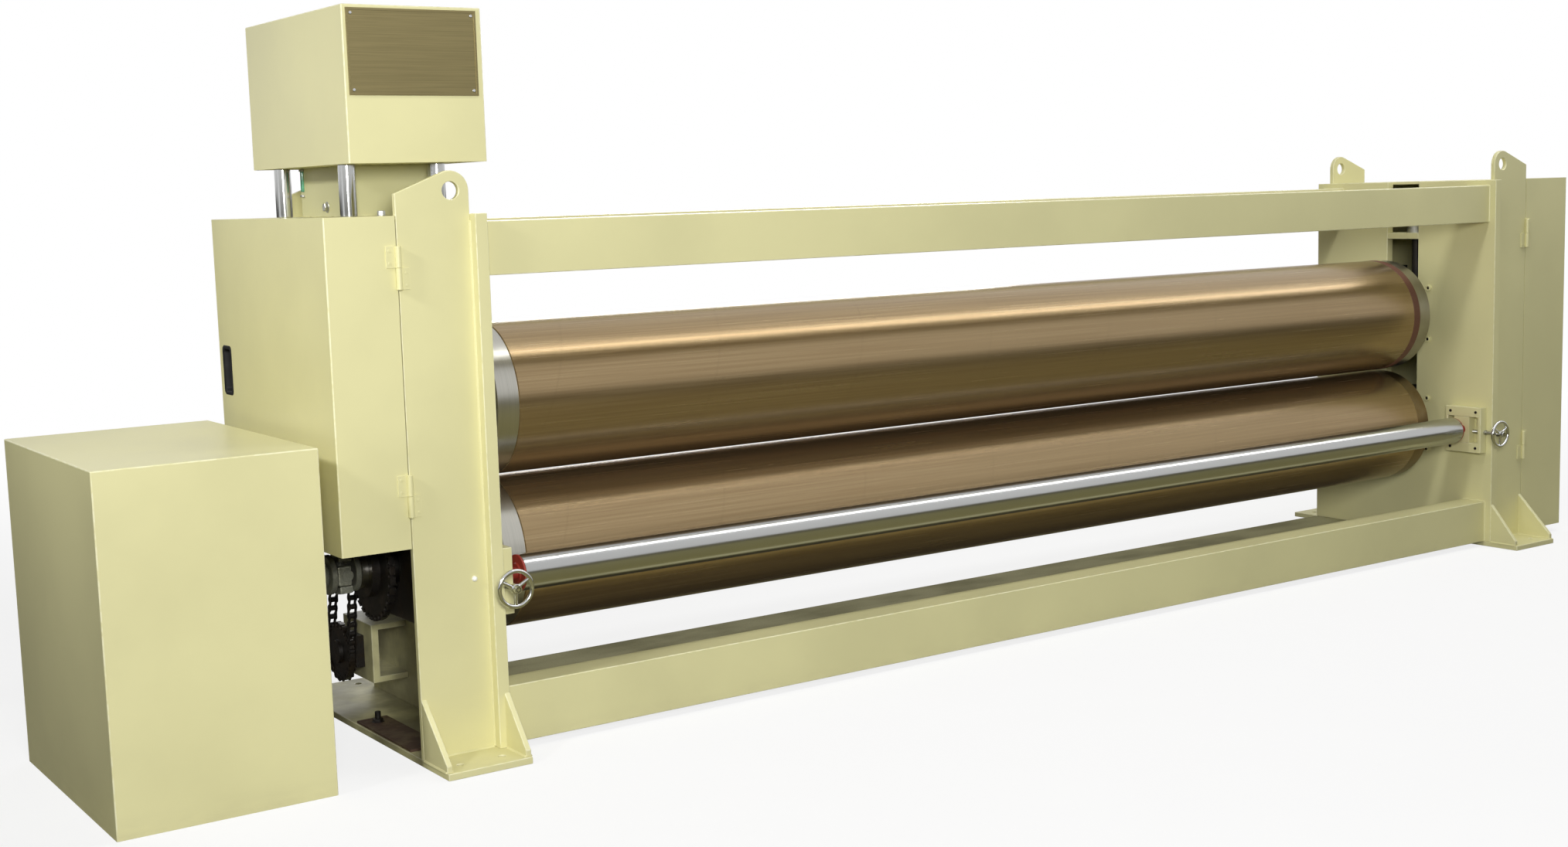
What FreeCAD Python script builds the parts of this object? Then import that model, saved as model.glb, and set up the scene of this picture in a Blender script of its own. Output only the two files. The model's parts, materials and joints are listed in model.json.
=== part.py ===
import FreeCAD, Part
import math
import operator
import os
from types import SimpleNamespace

import Sketcher

# Two-roll ironing machine. Millimetres, +X along the rolls to the right, -Y to the front, +Z up.
# The origin is on the floor at the middle of the whole machine.

SIZES = {
    # Side frames
    "rolls_mid_x": 314.5,
    "wall_gap": 5000.0,
    "wall_thick": 40.0,
    "wall_over_beam": 25.0,
    "slot_wide": 174.0,
    "slot_drop": 105.0,
    "frame_wide": 280.0,
    "column_thick": 20.0,
    "column_inset": 37.0,
    "column_edge_rise": 65.0,
    "lug_hole_reach": 100.0,
    "lug_rise": 70.0,
    "lug_hole_r": 27.0,
    "lug_r": 60.0,
    "base_thick": 22.0,
    "foot_reach": 140.0,
    "anchor_hole_r": 11.0,
    "anchor_edge": 70.0,
    "gusset_thick": 18.0,
    "gusset_edge_gap": 10.0,
    "gusset_inner_high": 175.0,
    "gusset_outer_high": 190.0,
    "gusset_toe": 20.0,
    "top_beam_gap": 171.0,
    "top_beam_high": 165.0,
    "bottom_beam_high": 185.0,
    "rear_tie_deep": 230.0,
    "beam_deep": 120.0,
    "beam_wall": 8.0,
    "beam_recess": 32.0,
    "pad_wide": 105.0,
    "pad_long": 430.0,
    "pad_thick": 8.0,
    "pad_edge_gap": 5.0,
    "pad_front_y": -350.0,
    # Fits and fasteners
    "fit_gap": 0.05,
    "slide_gap": 0.3,
    "bolt_r": 10.0,
    "bolt_head_r": 17.0,
    "bolt_head_high": 12.0,
    "bolt_grip": 50.0,
    "bolt_hole_gap": 0.5,
    # Rolls
    "roll_r": 255.0,
    "cover_thick": 3.0,
    "shell_thick": 30.0,
    "roll_end_gap": 125.0,
    "cover_margin": 78.0,
    "nip_gap": 9.0,
    "roll_beam_gap": 83.0,
    "journal_r": 60.0,
    "head_thick": 60.0,
    "head_set": 15.0,
    "shaft_end_over": 4.0,
    "coupling_gap": 24.0,
    "idle_shaft_over": 20.0,
    # Bearings and upper roll guides
    "housing_half_y": 190.0,
    "housing_half_z": 160.0,
    "housing_deep": 130.0,
    "bearing_r": 90.0,
    "bearing_wide": 90.0,
    "bearing_set": 20.0,
    "shoulder_r": 75.0,
    "housing_bolt_y": 150.0,
    "housing_bolt_z": 120.0,
    "carriage_half_y": 135.0,
    "carriage_half_z": 150.0,
    "carriage_nose_half_y": 110.0,
    "rail_wide": 60.0,
    "rail_deep": 60.0,
    "rail_lip_thick": 18.0,
    "rail_lip_reach": 20.0,
    "rail_drop": 170.0,
    "rail_rise": 230.0,
    # Lift
    "crossbar_rise": 348.0,
    "crossbar_high": 28.0,
    "crossbar_half_y": 195.0,
    "lift_axis_reach": 105.0,
    "lift_barrel_wall": 9.0,
    "lift_bore_r": 36.0,
    "lift_barrel_high": 194.0,
    "lift_cap_thick": 24.0,
    "lift_rod_r": 20.0,
    "lift_piston_high": 30.0,
    "lift_piston_rise": 20.0,
    # Chain drive
    "chain_pitch": 31.75,
    "chain_roller_r": 9.5,
    "chain_pin_r": 5.0,
    "link_half_high": 13.0,
    "link_thick": 4.0,
    "link_gap": 0.3,
    "sprocket_teeth": 32.0,
    "tension_teeth": 18.0,
    "tooth_rise": 9.0,
    "sprocket_gap": 21.0,
    "sprocket_thick": 18.0,
    "hub_r": 90.0,
    "hub_side": 26.0,
    "tension_y": 310.0,
    "tension_drop": 330.0,
    "tension_shaft_r": 20.0,
    "tension_hub_r": 40.0,
    "tension_hub_side": 12.0,
    "tension_side_gap": 10.0,
    "bracket_web": 25.0,
    "bracket_flange": 20.0,
    "bracket_half_y": 123.0,
    "bracket_half_z": 100.0,
    "tension_block_half": 55.0,
    "tension_block_thick": 30.0,
    # Joint shaft, reducer and motor
    "joint_r": 64.0,
    "joint_flange_thick": 18.0,
    "joint_ear_long": 62.0,
    "joint_ear_thick": 26.0,
    "joint_ear_wide": 64.0,
    "joint_cross_r": 15.0,
    "joint_tube_r": 34.0,
    "joint_span": 370.0,
    "output_shaft_r": 30.0,
    "output_shaft_long": 60.0,
    "reducer_boss_r": 72.0,
    "reducer_boss_long": 36.0,
    "reducer_long": 190.0,
    "reducer_half_y": 150.0,
    "reducer_half_z": 180.0,
    "motor_r": 125.0,
    "motor_long": 320.0,
    "motor_foot_half": 100.0,
    "terminal_set": 70.0,
    "terminal_long": 110.0,
    "terminal_wide": 120.0,
    "terminal_high": 70.0,
    "drive_base_half_y": 170.0,
    "drive_base_wall": 15.0,
    "drive_floor_thick": 10.0,
    # Covers
    "sheet_thick": 3.0,
    "cover_hood_gap": 84.0,
    "cover_end_gap": 22.0,
    "cover_front_y": -546.0,
    "cover_rear_y": 432.0,
    "cover_top": 1027.0,
    "cover_notch_gap": 18.0,
    "cover_notch_over": 23.0,
    "hood_gap": 3.0,
    "left_hood_reach": 504.0,
    "right_hood_reach": 595.0,
    "left_hood_rise": 136.0,
    "right_hood_gap": 13.0,
    "hood_rear_reach": 25.0,
    "hood_return_reach": 140.0,
    "deck_thick": 12.0,
    "hinge_long": 130.0,
    "hinge_r": 9.0,
    "hinge_pin_r": 5.0,
    "hinge_leaf_wide": 36.0,
    "hinge_leaf_thick": 4.0,
    "left_hinge_drop": 154.0,
    "left_hinge_rise": 161.0,
    "right_hinge_drop": 249.0,
    "right_hinge_rise": 409.0,
    "pull_wide": 84.0,
    "pull_high": 164.0,
    "pull_deep": 30.0,
    "pull_rim": 10.0,
    "pull_rim_thick": 2.0,
    "pull_wall": 3.0,
    "pull_edge": 73.0,
    "pull_drop": 496.0,
    # Power pack above the left end
    "post_r": 26.0,
    "post_high": 156.0,
    "post_inner_reach": 54.0,
    "post_outer_reach": 346.0,
    "post_half_y": 271.0,
    "tank_near_reach": 45.0,
    "tank_far_reach": 300.0,
    "tank_front_gap": 45.0,
    "tank_rear_gap": 10.0,
    "tank_wall": 6.0,
    "tray_thick": 10.0,
    "pack_near_reach": -48.0,
    "pack_far_reach": 396.0,
    "pack_front_y": -419.0,
    "pack_rear_y": 396.0,
    "pack_high": 460.0,
    "pump_r": 110.0,
    "pump_high": 300.0,
    "pump_reach": 180.0,
    "plate_near_margin": 18.0,
    "plate_high": 253.0,
    "plate_thick": 3.0,
    "plate_side_margin": 12.0,
    "plate_top_margin": 10.0,
    # Tension roll and its adjusters
    "idler_r": 59.5,
    "idler_wall": 8.0,
    "idler_roll_gap": 55.5,
    "idler_drop": 5.0,
    "idler_end_gap": 113.0,
    "idler_cap_thick": 6.0,
    "idler_plug_long": 20.0,
    "idler_stub_r": 20.0,
    "stub_screw_gap": 3.0,
    "guide_deep": 45.0,
    "guide_inset": 30.0,
    "guide_front_reach": 100.0,
    "guide_rear_reach": 86.0,
    "guide_half_high": 105.0,
    "guide_rail": 45.0,
    "guide_front_wall": 15.0,
    "guide_rear_wall": 12.0,
    "block_long": 80.0,
    "screw_r": 8.0,
    "screw_reach": 12.0,
    "screw_drop": 10.0,
    "screw_nose": 102.0,
    "screw_tail": 70.0,
    "collar_gap": 1.0,
    "collar_long": 8.0,
    "wheel_set": 21.0,
    "wheel_r": 55.5,
    "wheel_rim_r": 7.0,
    "wheel_hub_r": 16.0,
    "wheel_hub_long": 34.0,
    "wheel_spoke_r": 5.0,
}

SIDES = {"left": -1, "right": 1}
OPERATORS = {"+": operator.add, "-": operator.sub, "*": operator.mul, "/": operator.truediv}
SPOKES = 3

doc = FreeCAD.newDocument("IroningMachine")
sheet = doc.addObject("Spreadsheet::Sheet", "Sizes")
for row, (alias, value) in enumerate(SIZES.items(), start=1):
    sheet.set("A%d" % row, alias)
    sheet.set("B%d" % row, str(value))
    sheet.setAlias("B%d" % row, alias)
doc.recompute()


class Size:
    """A length held as a number and as the expression on the sheet that gives it."""

    def __init__(self, words, number):
        self.words = words
        self.number = number

    def __add__(self, other):
        return joined(self, "+", other)

    def __radd__(self, other):
        return joined(other, "+", self)

    def __sub__(self, other):
        return joined(self, "-", other)

    def __rsub__(self, other):
        return joined(other, "-", self)

    def __mul__(self, other):
        return joined(self, "*", other)

    def __rmul__(self, other):
        return joined(other, "*", self)

    def __truediv__(self, other):
        return joined(self, "/", other)

    def __rtruediv__(self, other):
        return joined(other, "/", self)

    def __neg__(self):
        return joined(-1, "*", self)


def as_size(value):
    return value if isinstance(value, Size) else Size("%.10g" % value, float(value))


def joined(left, sign, right):
    left, right = as_size(left), as_size(right)
    number = OPERATORS[sign](left.number, right.number)
    return Size("(%s %s %s)" % (left.words, sign, right.words), number)


def root(size):
    return Size("sqrt(%s)" % size.words, math.sqrt(size.number))


def half_turn_sine(teeth):
    """Sine of half the angle between two teeth."""
    return Size("sin(180 deg / %s)" % teeth.words, math.sin(math.pi / teeth.number))


d = SimpleNamespace(**{alias: Size("Sizes." + alias, sheet.get(alias)) for alias in SIZES})
nodes = []

# Heights, stacked from the floor
d.lower_z = d.base_thick + d.bottom_beam_high + d.roll_beam_gap + d.roll_r
d.upper_z = d.lower_z + 2 * d.roll_r + d.nip_gap
d.top_beam_z = d.upper_z + d.roll_r + d.top_beam_gap
d.wall_top = d.top_beam_z + d.top_beam_high + d.wall_over_beam
d.slot_floor = d.lower_z - d.slot_drop
d.column_edge_top = d.wall_top + d.column_edge_rise
d.lug_hole_z = d.wall_top + d.lug_rise
d.crossbar_z = d.upper_z + d.crossbar_rise
d.rail_low_z = d.upper_z - d.rail_drop
d.rail_high_z = d.upper_z + d.rail_rise
d.tension_z = d.lower_z - d.tension_drop
d.idler_z = d.lower_z - d.idler_drop
d.screw_z = d.idler_z - d.screw_drop
d.collar_r = d.screw_reach - d.collar_gap
d.left_hood_z = d.lower_z + d.left_hood_rise
d.right_hood_z = d.base_thick + d.right_hood_gap
d.pull_z = d.wall_top - d.pull_drop

# Depths, from the lower roll forward to the tension roll, its guide and the wall's front edge
d.idler_y = -(d.roll_r + d.idler_roll_gap + d.idler_r)
d.guide_front_y = d.idler_y - d.guide_front_reach
d.guide_rear_y = d.idler_y + d.guide_rear_reach
d.wall_depth = 2 * (d.guide_inset - d.guide_front_y)
d.base_depth = d.wall_depth + 2 * d.foot_reach
d.gusset_reach = d.base_depth / 2 - d.gusset_edge_gap
d.screw_front_y = d.guide_front_y - d.screw_nose
d.screw_rear_y = d.idler_y + d.screw_tail
d.wheel_y = d.screw_front_y + d.wheel_set
d.hood_rear_y = d.wall_depth / 2 + d.hood_rear_reach
d.pull_y = d.hood_rear_y - d.pull_edge
d.tank_front_y = -(d.post_half_y - d.post_r - d.tank_front_gap)
d.tank_rear_y = d.post_half_y - d.post_r - d.tank_rear_gap

# Reaches outwards from a wall's inner face, through the bearings and the chain to the drive
d.housing_reach = d.wall_thick + d.housing_deep
d.sprocket_reach = d.housing_reach + d.sprocket_gap + d.hub_side
d.sprocket_far = d.sprocket_reach + d.sprocket_thick
d.upper_shaft_reach = d.sprocket_far + d.hub_side + d.shaft_end_over
d.lower_shaft_reach = d.sprocket_far + d.hub_side + d.coupling_gap
d.idle_shaft_reach = d.housing_reach + d.idle_shaft_over
d.bracket_reach = d.sprocket_reach - d.tension_hub_side - d.tension_block_thick - d.tension_side_gap
d.joint_end = d.lower_shaft_reach + d.joint_span
d.reducer_near = d.joint_end + d.reducer_boss_long
d.reducer_far = d.reducer_near + d.reducer_long
d.motor_far = d.reducer_far + d.motor_long
d.cover_near_reach = d.left_hood_reach + d.cover_hood_gap
d.cover_far_reach = d.motor_far + d.cover_end_gap + d.sheet_thick
d.lift_barrel_r = d.lift_bore_r + d.lift_barrel_wall
d.idler_stub_tip = d.screw_reach + d.screw_r + d.stub_screw_gap


def bind(obj, **sizes):
    """Tie properties to sizes; x, y and z are the place of the object."""
    for name, size in sizes.items():
        path = "Placement.Base." + name if name in ("x", "y", "z") else name
        obj.setExpression(path, as_size(size).words)
    return obj


def publish(label, obj):
    """Make an object one of the machine's pieces, under its own name."""
    obj.Label = label
    nodes.append(obj)


def box(low, high):
    obj = doc.addObject("Part::Box", "Block")
    bind(obj, x=low[0], y=low[1], z=low[2])
    return bind(obj, Length=high[0] - low[0], Width=high[1] - low[1], Height=high[2] - low[2])


def turned(obj, axis):
    """Lay an object that stands along Z down along the named axis."""
    turns = {
        "X": FreeCAD.Rotation(FreeCAD.Vector(0, 1, 0), 90),
        "Y": FreeCAD.Rotation(FreeCAD.Vector(1, 0, 0), -90),
        "Z": FreeCAD.Rotation(),
    }
    obj.Placement = FreeCAD.Placement(FreeCAD.Vector(), turns[axis])
    return obj


def rod(axis, start, length, radius):
    obj = turned(doc.addObject("Part::Cylinder", "Rod"), axis)
    bind(obj, x=start[0], y=start[1], z=start[2])
    return bind(obj, Radius=radius, Height=length)


def hexagon(axis, start, length, radius):
    obj = turned(doc.addObject("Part::Prism", "Hexagon"), axis)
    obj.Polygon = 6
    bind(obj, x=start[0], y=start[1], z=start[2])
    return bind(obj, Circumradius=radius, Height=length)


def fuse(*shapes):
    obj = doc.addObject("Part::MultiFuse", "Union")
    obj.Shapes = list(shapes)
    obj.Refine = True
    return obj


def cut(base, *tools):
    obj = doc.addObject("Part::Cut", "Cut")
    obj.Base = base
    obj.Tool = tools[0] if len(tools) == 1 else together(tools)
    return obj


def together(shapes):
    obj = doc.addObject("Part::Compound", "Group")
    obj.Links = list(shapes)
    return obj


# Bodies made from sketches

def origin_part(body, role):
    return next(part for part in body.Origin.OriginFeatures if part.Role == role)


def new_sketch(body, plane):
    sketch = body.newObject("Sketcher::SketchObject", "Outline")
    sketch.AttachmentSupport = [(origin_part(body, plane + "_Plane"), "")]
    sketch.MapMode = "FlatFace"
    return sketch


def tie(sketch, constraint, size):
    index = sketch.addConstraint(constraint)
    sketch.setExpression("Constraints[%d]" % index, size.words)


def tie_point(sketch, edge, point, place):
    for kind, size in zip(("DistanceX", "DistanceY"), map(as_size, place)):
        tie(sketch, Sketcher.Constraint(kind, -1, 1, edge, point, size.number), size)


def polygon(body, plane, corners):
    sketch = new_sketch(body, plane)
    corners = [tuple(map(as_size, corner)) for corner in corners]
    spots = [FreeCAD.Vector(across.number, along.number, 0) for across, along in corners]
    count = len(spots)
    for i in range(count):
        sketch.addGeometry(Part.LineSegment(spots[i], spots[(i + 1) % count]), False)
    for i in range(count):
        sketch.addConstraint(Sketcher.Constraint("Coincident", i, 2, (i + 1) % count, 1))
    for i, corner in enumerate(corners):
        tie_point(sketch, i, 1, corner)
    return sketch


def circle(sketch, place, radius):
    place = tuple(map(as_size, place))
    radius = as_size(radius)
    centre = FreeCAD.Vector(place[0].number, place[1].number, 0)
    upright = FreeCAD.Vector(0, 0, 1)
    edge = sketch.addGeometry(Part.Circle(centre, upright, radius.number), False)
    tie(sketch, Sketcher.Constraint("Radius", edge, radius.number), radius)
    tie_point(sketch, edge, 3, place)


def pad(body, sketch, length):
    feature = body.newObject("PartDesign::Pad", "Pad")
    feature.Profile = sketch
    sketch.Visibility = False
    return bind(feature, Length=length)


def pocket_through(body, sketch):
    feature = body.newObject("PartDesign::Pocket", "Pocket")
    feature.Profile = sketch
    feature.Type = "ThroughAll"
    feature.SideType = "Symmetric"
    return feature


def slab(plane, corners, length, **place):
    """A plate of the given outline, thickened along its plane's normal (+Z, +X, or -Y for XZ)."""
    body = doc.addObject("PartDesign::Body", "Slab")
    pad(body, polygon(body, plane, corners), length)
    return bind(body, **place)


# Places measured outwards from a wall plate's inner face

def out(side, reach):
    return d.rolls_mid_x + side * (d.wall_gap / 2 + reach)


def low_x(side, near, far):
    return out(side, near) if side > 0 else out(side, far)


def end_box(side, reach, across, high):
    """A box between two reaches, two Y values and two Z values at one end of the machine."""
    near, far = map(as_size, reach)
    start = low_x(side, near, far)
    return box((start, across[0], high[0]), (start + (far - near), across[1], high[1]))


def end_rod(side, reach, y, z, radius):
    near, far = map(as_size, reach)
    return rod("X", (low_x(side, near, far), y, z), far - near, radius)


def end_ring(side, reach, y, z, outer, inner):
    return cut(end_rod(side, reach, y, z, outer), end_rod(side, reach, y, z, inner))


front_y = -d.wall_depth / 2
column_front_y = front_y + d.column_inset
column_rear_y = column_front_y + d.column_thick
bolt_hole_r = d.bolt_r + d.bolt_hole_gap


# Side frames

def bolt_places():
    """Y and Z of the bolts that hold the lower housings and the upper guide rails."""
    for axis_z in (d.lower_z, d.upper_z):
        for up in (-1, 1):
            for across in (-1, 1):
                yield across * d.housing_bolt_y, axis_z + up * d.housing_bolt_z


def wall_plate(side):
    half, slot = d.wall_depth / 2, d.slot_wide / 2
    corners = [(-half, d.base_thick), (half, d.base_thick), (half, d.wall_top), (slot, d.wall_top)]
    corners += [(slot, d.slot_floor), (-slot, d.slot_floor), (-slot, d.wall_top), (-half, d.wall_top)]
    plate = slab("YZ", corners, d.wall_thick, x=low_x(side, 0, d.wall_thick))
    holes = [end_rod(side, (0, d.wall_thick), y, z, bolt_hole_r) for y, z in bolt_places()]
    return cut(plate, *holes)


def is_open(side, face):
    """The drive end stays open at the rear below its hood, for the chain and the tension roller."""
    return side < 0 < face


def column_plate(side, face):
    """Plate on the front (-1) or rear (+1) of an end frame, drawn up into a lifting lug."""
    low_z = d.left_hood_z if is_open(side, face) else d.base_thick
    edge_x, inner_x, hole_x = out(side, d.frame_wide), out(side, d.wall_thick), out(side, d.lug_hole_reach)
    run, rise = d.frame_wide - d.lug_hole_reach, d.column_edge_top - d.lug_hole_z
    square = run * run + rise * rise
    slope = root(square - d.lug_r * d.lug_r)
    touch_out = (d.lug_r * d.lug_r * run - d.lug_r * slope * rise) / square
    touch_up = (d.lug_r * d.lug_r * rise + d.lug_r * slope * run) / square
    corners = [
        (inner_x, low_z),
        (edge_x, low_z),
        (edge_x, d.column_edge_top),
        (hole_x + side * touch_out, d.lug_hole_z + touch_up),
        (hole_x, d.lug_hole_z),
        (inner_x, d.lug_hole_z),
    ]
    rear = column_rear_y if face < 0 else -column_front_y
    body = slab("XZ", corners, d.column_thick, y=rear)
    lug = new_sketch(body, "XZ")
    circle(lug, (hole_x, d.lug_hole_z), d.lug_r)
    pad(body, lug, d.column_thick)
    hole = new_sketch(body, "XZ")
    circle(hole, (hole_x, d.lug_hole_z), d.lug_hole_r)
    pocket_through(body, hole)
    return body


pad_rear_y = d.pad_front_y + d.pad_long
pad_far = d.frame_wide - d.pad_edge_gap
pad_bolt_reach = pad_far - d.pad_wide / 2
pad_bolt_y = pad_rear_y - d.pad_wide / 2


def pad_bolt_hole(side):
    place = (out(side, pad_bolt_reach), pad_bolt_y, 0)
    return rod("Z", place, d.base_thick + d.pad_thick, bolt_hole_r)


def base_plate(side):
    half = d.base_depth / 2
    plate = end_box(side, (0, d.frame_wide), (-half, half), (0, d.base_thick))
    holes = [pad_bolt_hole(side)]
    for across in (-1, 1):
        for along in (-1, 1):
            x = out(side, d.frame_wide / 2) + across * (d.frame_wide / 2 - d.anchor_edge)
            y = along * (half - d.anchor_edge)
            holes.append(rod("Z", (x, y, 0), d.base_thick, d.anchor_hole_r))
    return cut(plate, *holes)


def base_pad(side):
    top = d.base_thick + d.pad_thick
    plate = end_box(side, (pad_far - d.pad_wide, pad_far), (d.pad_front_y, pad_rear_y), (d.base_thick, top))
    return cut(plate, pad_bolt_hole(side))


def pad_bolt(side):
    x, top = out(side, pad_bolt_reach), d.base_thick + d.pad_thick
    shank = rod("Z", (x, pad_bolt_y, d.slide_gap), top - d.slide_gap, d.bolt_r)
    return fuse(shank, hexagon("Z", (x, pad_bolt_y, top), d.bolt_head_high, d.bolt_head_r))


def gusset(side, face, near, heel_y, high):
    """Foot rib from the frame's face at heel_y down to the end of the base plate."""
    toe_y, floor = face * d.gusset_reach, d.base_thick
    corners = [(heel_y, floor), (toe_y, floor), (toe_y, floor + d.gusset_toe), (heel_y, floor + high)]
    return slab("YZ", corners, d.gusset_thick, x=low_x(side, near, near + d.gusset_thick))


def foot_gussets():
    outer_near = d.frame_wide - d.gusset_thick
    for side in SIDES.values():
        yield gusset(side, -1, as_size(0), front_y, d.gusset_inner_high)
        for face in (-1, 1):
            if not is_open(side, face):
                yield gusset(side, face, outer_near, -face * column_front_y, d.gusset_outer_high)


def beam(face, low_z, high):
    near, far = front_y + d.beam_recess, front_y + d.beam_recess + d.beam_deep
    low_y, high_y = (near, far) if face < 0 else (-far, -near)
    ends = (out(-1, 0), out(1, 0))
    wall = d.beam_wall
    outside = box((ends[0], low_y, low_z), (ends[1], high_y, low_z + high))
    inside = box((ends[0], low_y + wall, low_z + wall), (ends[1], high_y - wall, low_z + high - wall))
    return cut(outside, inside)


def housing_bolt(side, y, z):
    shank = end_rod(side, (0, d.wall_thick + d.bolt_grip), y, z, d.bolt_r)
    head_start = (low_x(side, -d.bolt_head_high, as_size(0)), y, z)
    return fuse(shank, hexagon("X", head_start, d.bolt_head_high, d.bolt_head_r))


def build_frames():
    for name, side in SIDES.items():
        publish(name + "_wall_plate", wall_plate(side))
    for name, face in (("front", -1), ("rear", 1)):
        publish(name + "_columns", together(column_plate(side, face) for side in SIDES.values()))
        publish("top_%s_beam" % name, beam(face, d.top_beam_z, d.top_beam_high))
    publish("bottom_front_beam", beam(-1, d.base_thick, d.bottom_beam_high))
    publish("rear_tie_plate", box((out(-1, 0), -front_y - d.rear_tie_deep, 0), (out(1, 0), -front_y, d.base_thick)))
    publish("base_plates", together(base_plate(side) for side in SIDES.values()))
    publish("base_pads", together(base_pad(side) for side in SIDES.values()))
    publish("foot_gussets", together(foot_gussets()))
    bolts = [housing_bolt(side, y, z) for side in SIDES.values() for y, z in bolt_places()]
    bolts += [pad_bolt(side) for side in SIDES.values()]
    publish("frame_bolts", together(bolts))


# Bearings, upper roll guides and lift

def bearing_bores(side, axis_z):
    seat = d.wall_thick + d.bearing_set
    wide = end_rod(side, (seat, d.housing_reach), 0, axis_z, d.bearing_r + d.fit_gap)
    narrow = end_rod(side, (d.wall_thick, seat), 0, axis_z, d.shoulder_r)
    return wide, narrow


def bearing(side, axis_z):
    seat = d.wall_thick + d.bearing_set
    reach = (seat, seat + d.bearing_wide)
    return end_ring(side, reach, 0, axis_z, d.bearing_r, d.journal_r + d.fit_gap)


def blind_bolt_holes(side, axis_z, across_ways):
    grip = (d.wall_thick, d.wall_thick + d.bolt_grip)
    for up in (-1, 1):
        for across in across_ways:
            y, z = across * d.housing_bolt_y, axis_z + up * d.housing_bolt_z
            yield end_rod(side, grip, y, z, bolt_hole_r)


def lower_housing(side):
    across = (-d.housing_half_y, d.housing_half_y)
    high = (d.lower_z - d.housing_half_z, d.lower_z + d.housing_half_z)
    block = end_box(side, (d.wall_thick, d.housing_reach), across, high)
    return cut(block, *bearing_bores(side, d.lower_z), *blind_bolt_holes(side, d.lower_z, (-1, 1)))


def upper_housing(side):
    """Block that slides up and down behind the lips of its two rails."""
    step = d.wall_thick + d.rail_deep - d.slide_gap
    half, nose = d.carriage_half_y - d.slide_gap, d.carriage_nose_half_y
    high = (d.upper_z - d.carriage_half_z, d.upper_z + d.carriage_half_z)
    flange = end_box(side, (d.wall_thick + d.slide_gap, step), (-half, half), high)
    front = end_box(side, (step, d.housing_reach), (-nose, nose), high)
    return cut(fuse(flange, front), *bearing_bores(side, d.upper_z))


def guide_rail(side, across):
    near, far = d.carriage_half_y, d.carriage_half_y + d.rail_wide
    lip_near = near - d.rail_lip_reach
    back, lip = d.wall_thick + d.rail_deep, d.wall_thick + d.rail_deep + d.rail_lip_thick
    high = (d.rail_low_z, d.rail_high_z)
    body_y, lip_y = ((near, far), (lip_near, far)) if across > 0 else ((-far, -near), (-far, -lip_near))
    body = end_box(side, (d.wall_thick, back), body_y, high)
    rail = fuse(body, end_box(side, (back, lip), lip_y, high))
    return cut(rail, *blind_bolt_holes(side, d.upper_z, (across,)))


crossbar_top = d.crossbar_z + d.crossbar_high


def slot_crossbar(side):
    high, tongue = (d.crossbar_z, crossbar_top), d.slot_wide / 2 - d.slide_gap
    bar = end_box(side, (d.wall_thick, d.housing_reach), (-d.crossbar_half_y, d.crossbar_half_y), high)
    filler = end_box(side, (d.slide_gap, d.wall_thick), (-tongue, tongue), high)
    x = out(side, d.lift_axis_reach)
    return cut(fuse(bar, filler), rod("Z", (x, 0, d.crossbar_z), d.crossbar_high, d.lift_rod_r + d.fit_gap))


def lift_cylinder(side):
    base = (out(side, d.lift_axis_reach), 0, crossbar_top)
    barrel = rod("Z", base, d.lift_barrel_high, d.lift_barrel_r)
    return cut(barrel, rod("Z", base, d.lift_barrel_high - d.lift_cap_thick, d.lift_bore_r))


def lift_rod(side):
    x, foot = out(side, d.lift_axis_reach), d.upper_z + d.carriage_half_z
    piston_z = crossbar_top + d.lift_piston_rise
    stem = rod("Z", (x, 0, foot), piston_z - foot, d.lift_rod_r)
    return fuse(stem, rod("Z", (x, 0, piston_z), d.lift_piston_high, d.lift_bore_r - d.fit_gap))


def build_bearings():
    sides = SIDES.values()
    publish("lower_housings", together(lower_housing(side) for side in sides))
    publish("lower_bearings", together(bearing(side, d.lower_z) for side in sides))
    publish("upper_housings", together(upper_housing(side) for side in sides))
    publish("upper_bearings", together(bearing(side, d.upper_z) for side in sides))
    publish("housing_rails", together(guide_rail(side, across) for side in sides for across in (-1, 1)))
    publish("slot_crossbars", together(slot_crossbar(side) for side in sides))
    publish("lift_cylinders", together(lift_cylinder(side) for side in sides))
    publish("lift_rods", together(lift_rod(side) for side in sides))


# Rolls

shell_r = d.roll_r - d.cover_thick
shell_bore_r = shell_r - d.shell_thick


def sleeve(axis_z, end_gap, outer, inner):
    start, length = (out(-1, -end_gap), 0, axis_z), d.wall_gap - 2 * end_gap
    return cut(rod("X", start, length, outer), rod("X", start, length, inner))


def journal(side, axis_z, shaft_reach):
    """Roll head set into the shell's end, with the shaft that runs in the bearing."""
    face = -d.roll_end_gap - d.head_set
    head = end_rod(side, (face - d.head_thick, face), 0, axis_z, shell_bore_r - d.fit_gap)
    return fuse(head, end_rod(side, (face, shaft_reach), 0, axis_z, d.journal_r))


def build_roll(name, axis_z, driven_reach):
    publish(name + "_roll_shell", sleeve(axis_z, d.roll_end_gap, shell_r, shell_bore_r))
    cover_gap = d.roll_end_gap + d.cover_margin
    publish(name + "_roll_cover", sleeve(axis_z, cover_gap, d.roll_r, shell_r + d.fit_gap))
    ends = [journal(-1, axis_z, driven_reach), journal(1, axis_z, d.idle_shaft_reach)]
    publish(name + "_journals", together(ends))


# Chain drive at the left end

def pitch_radius(teeth):
    return d.chain_pitch / (2 * half_turn_sine(teeth))


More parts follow.
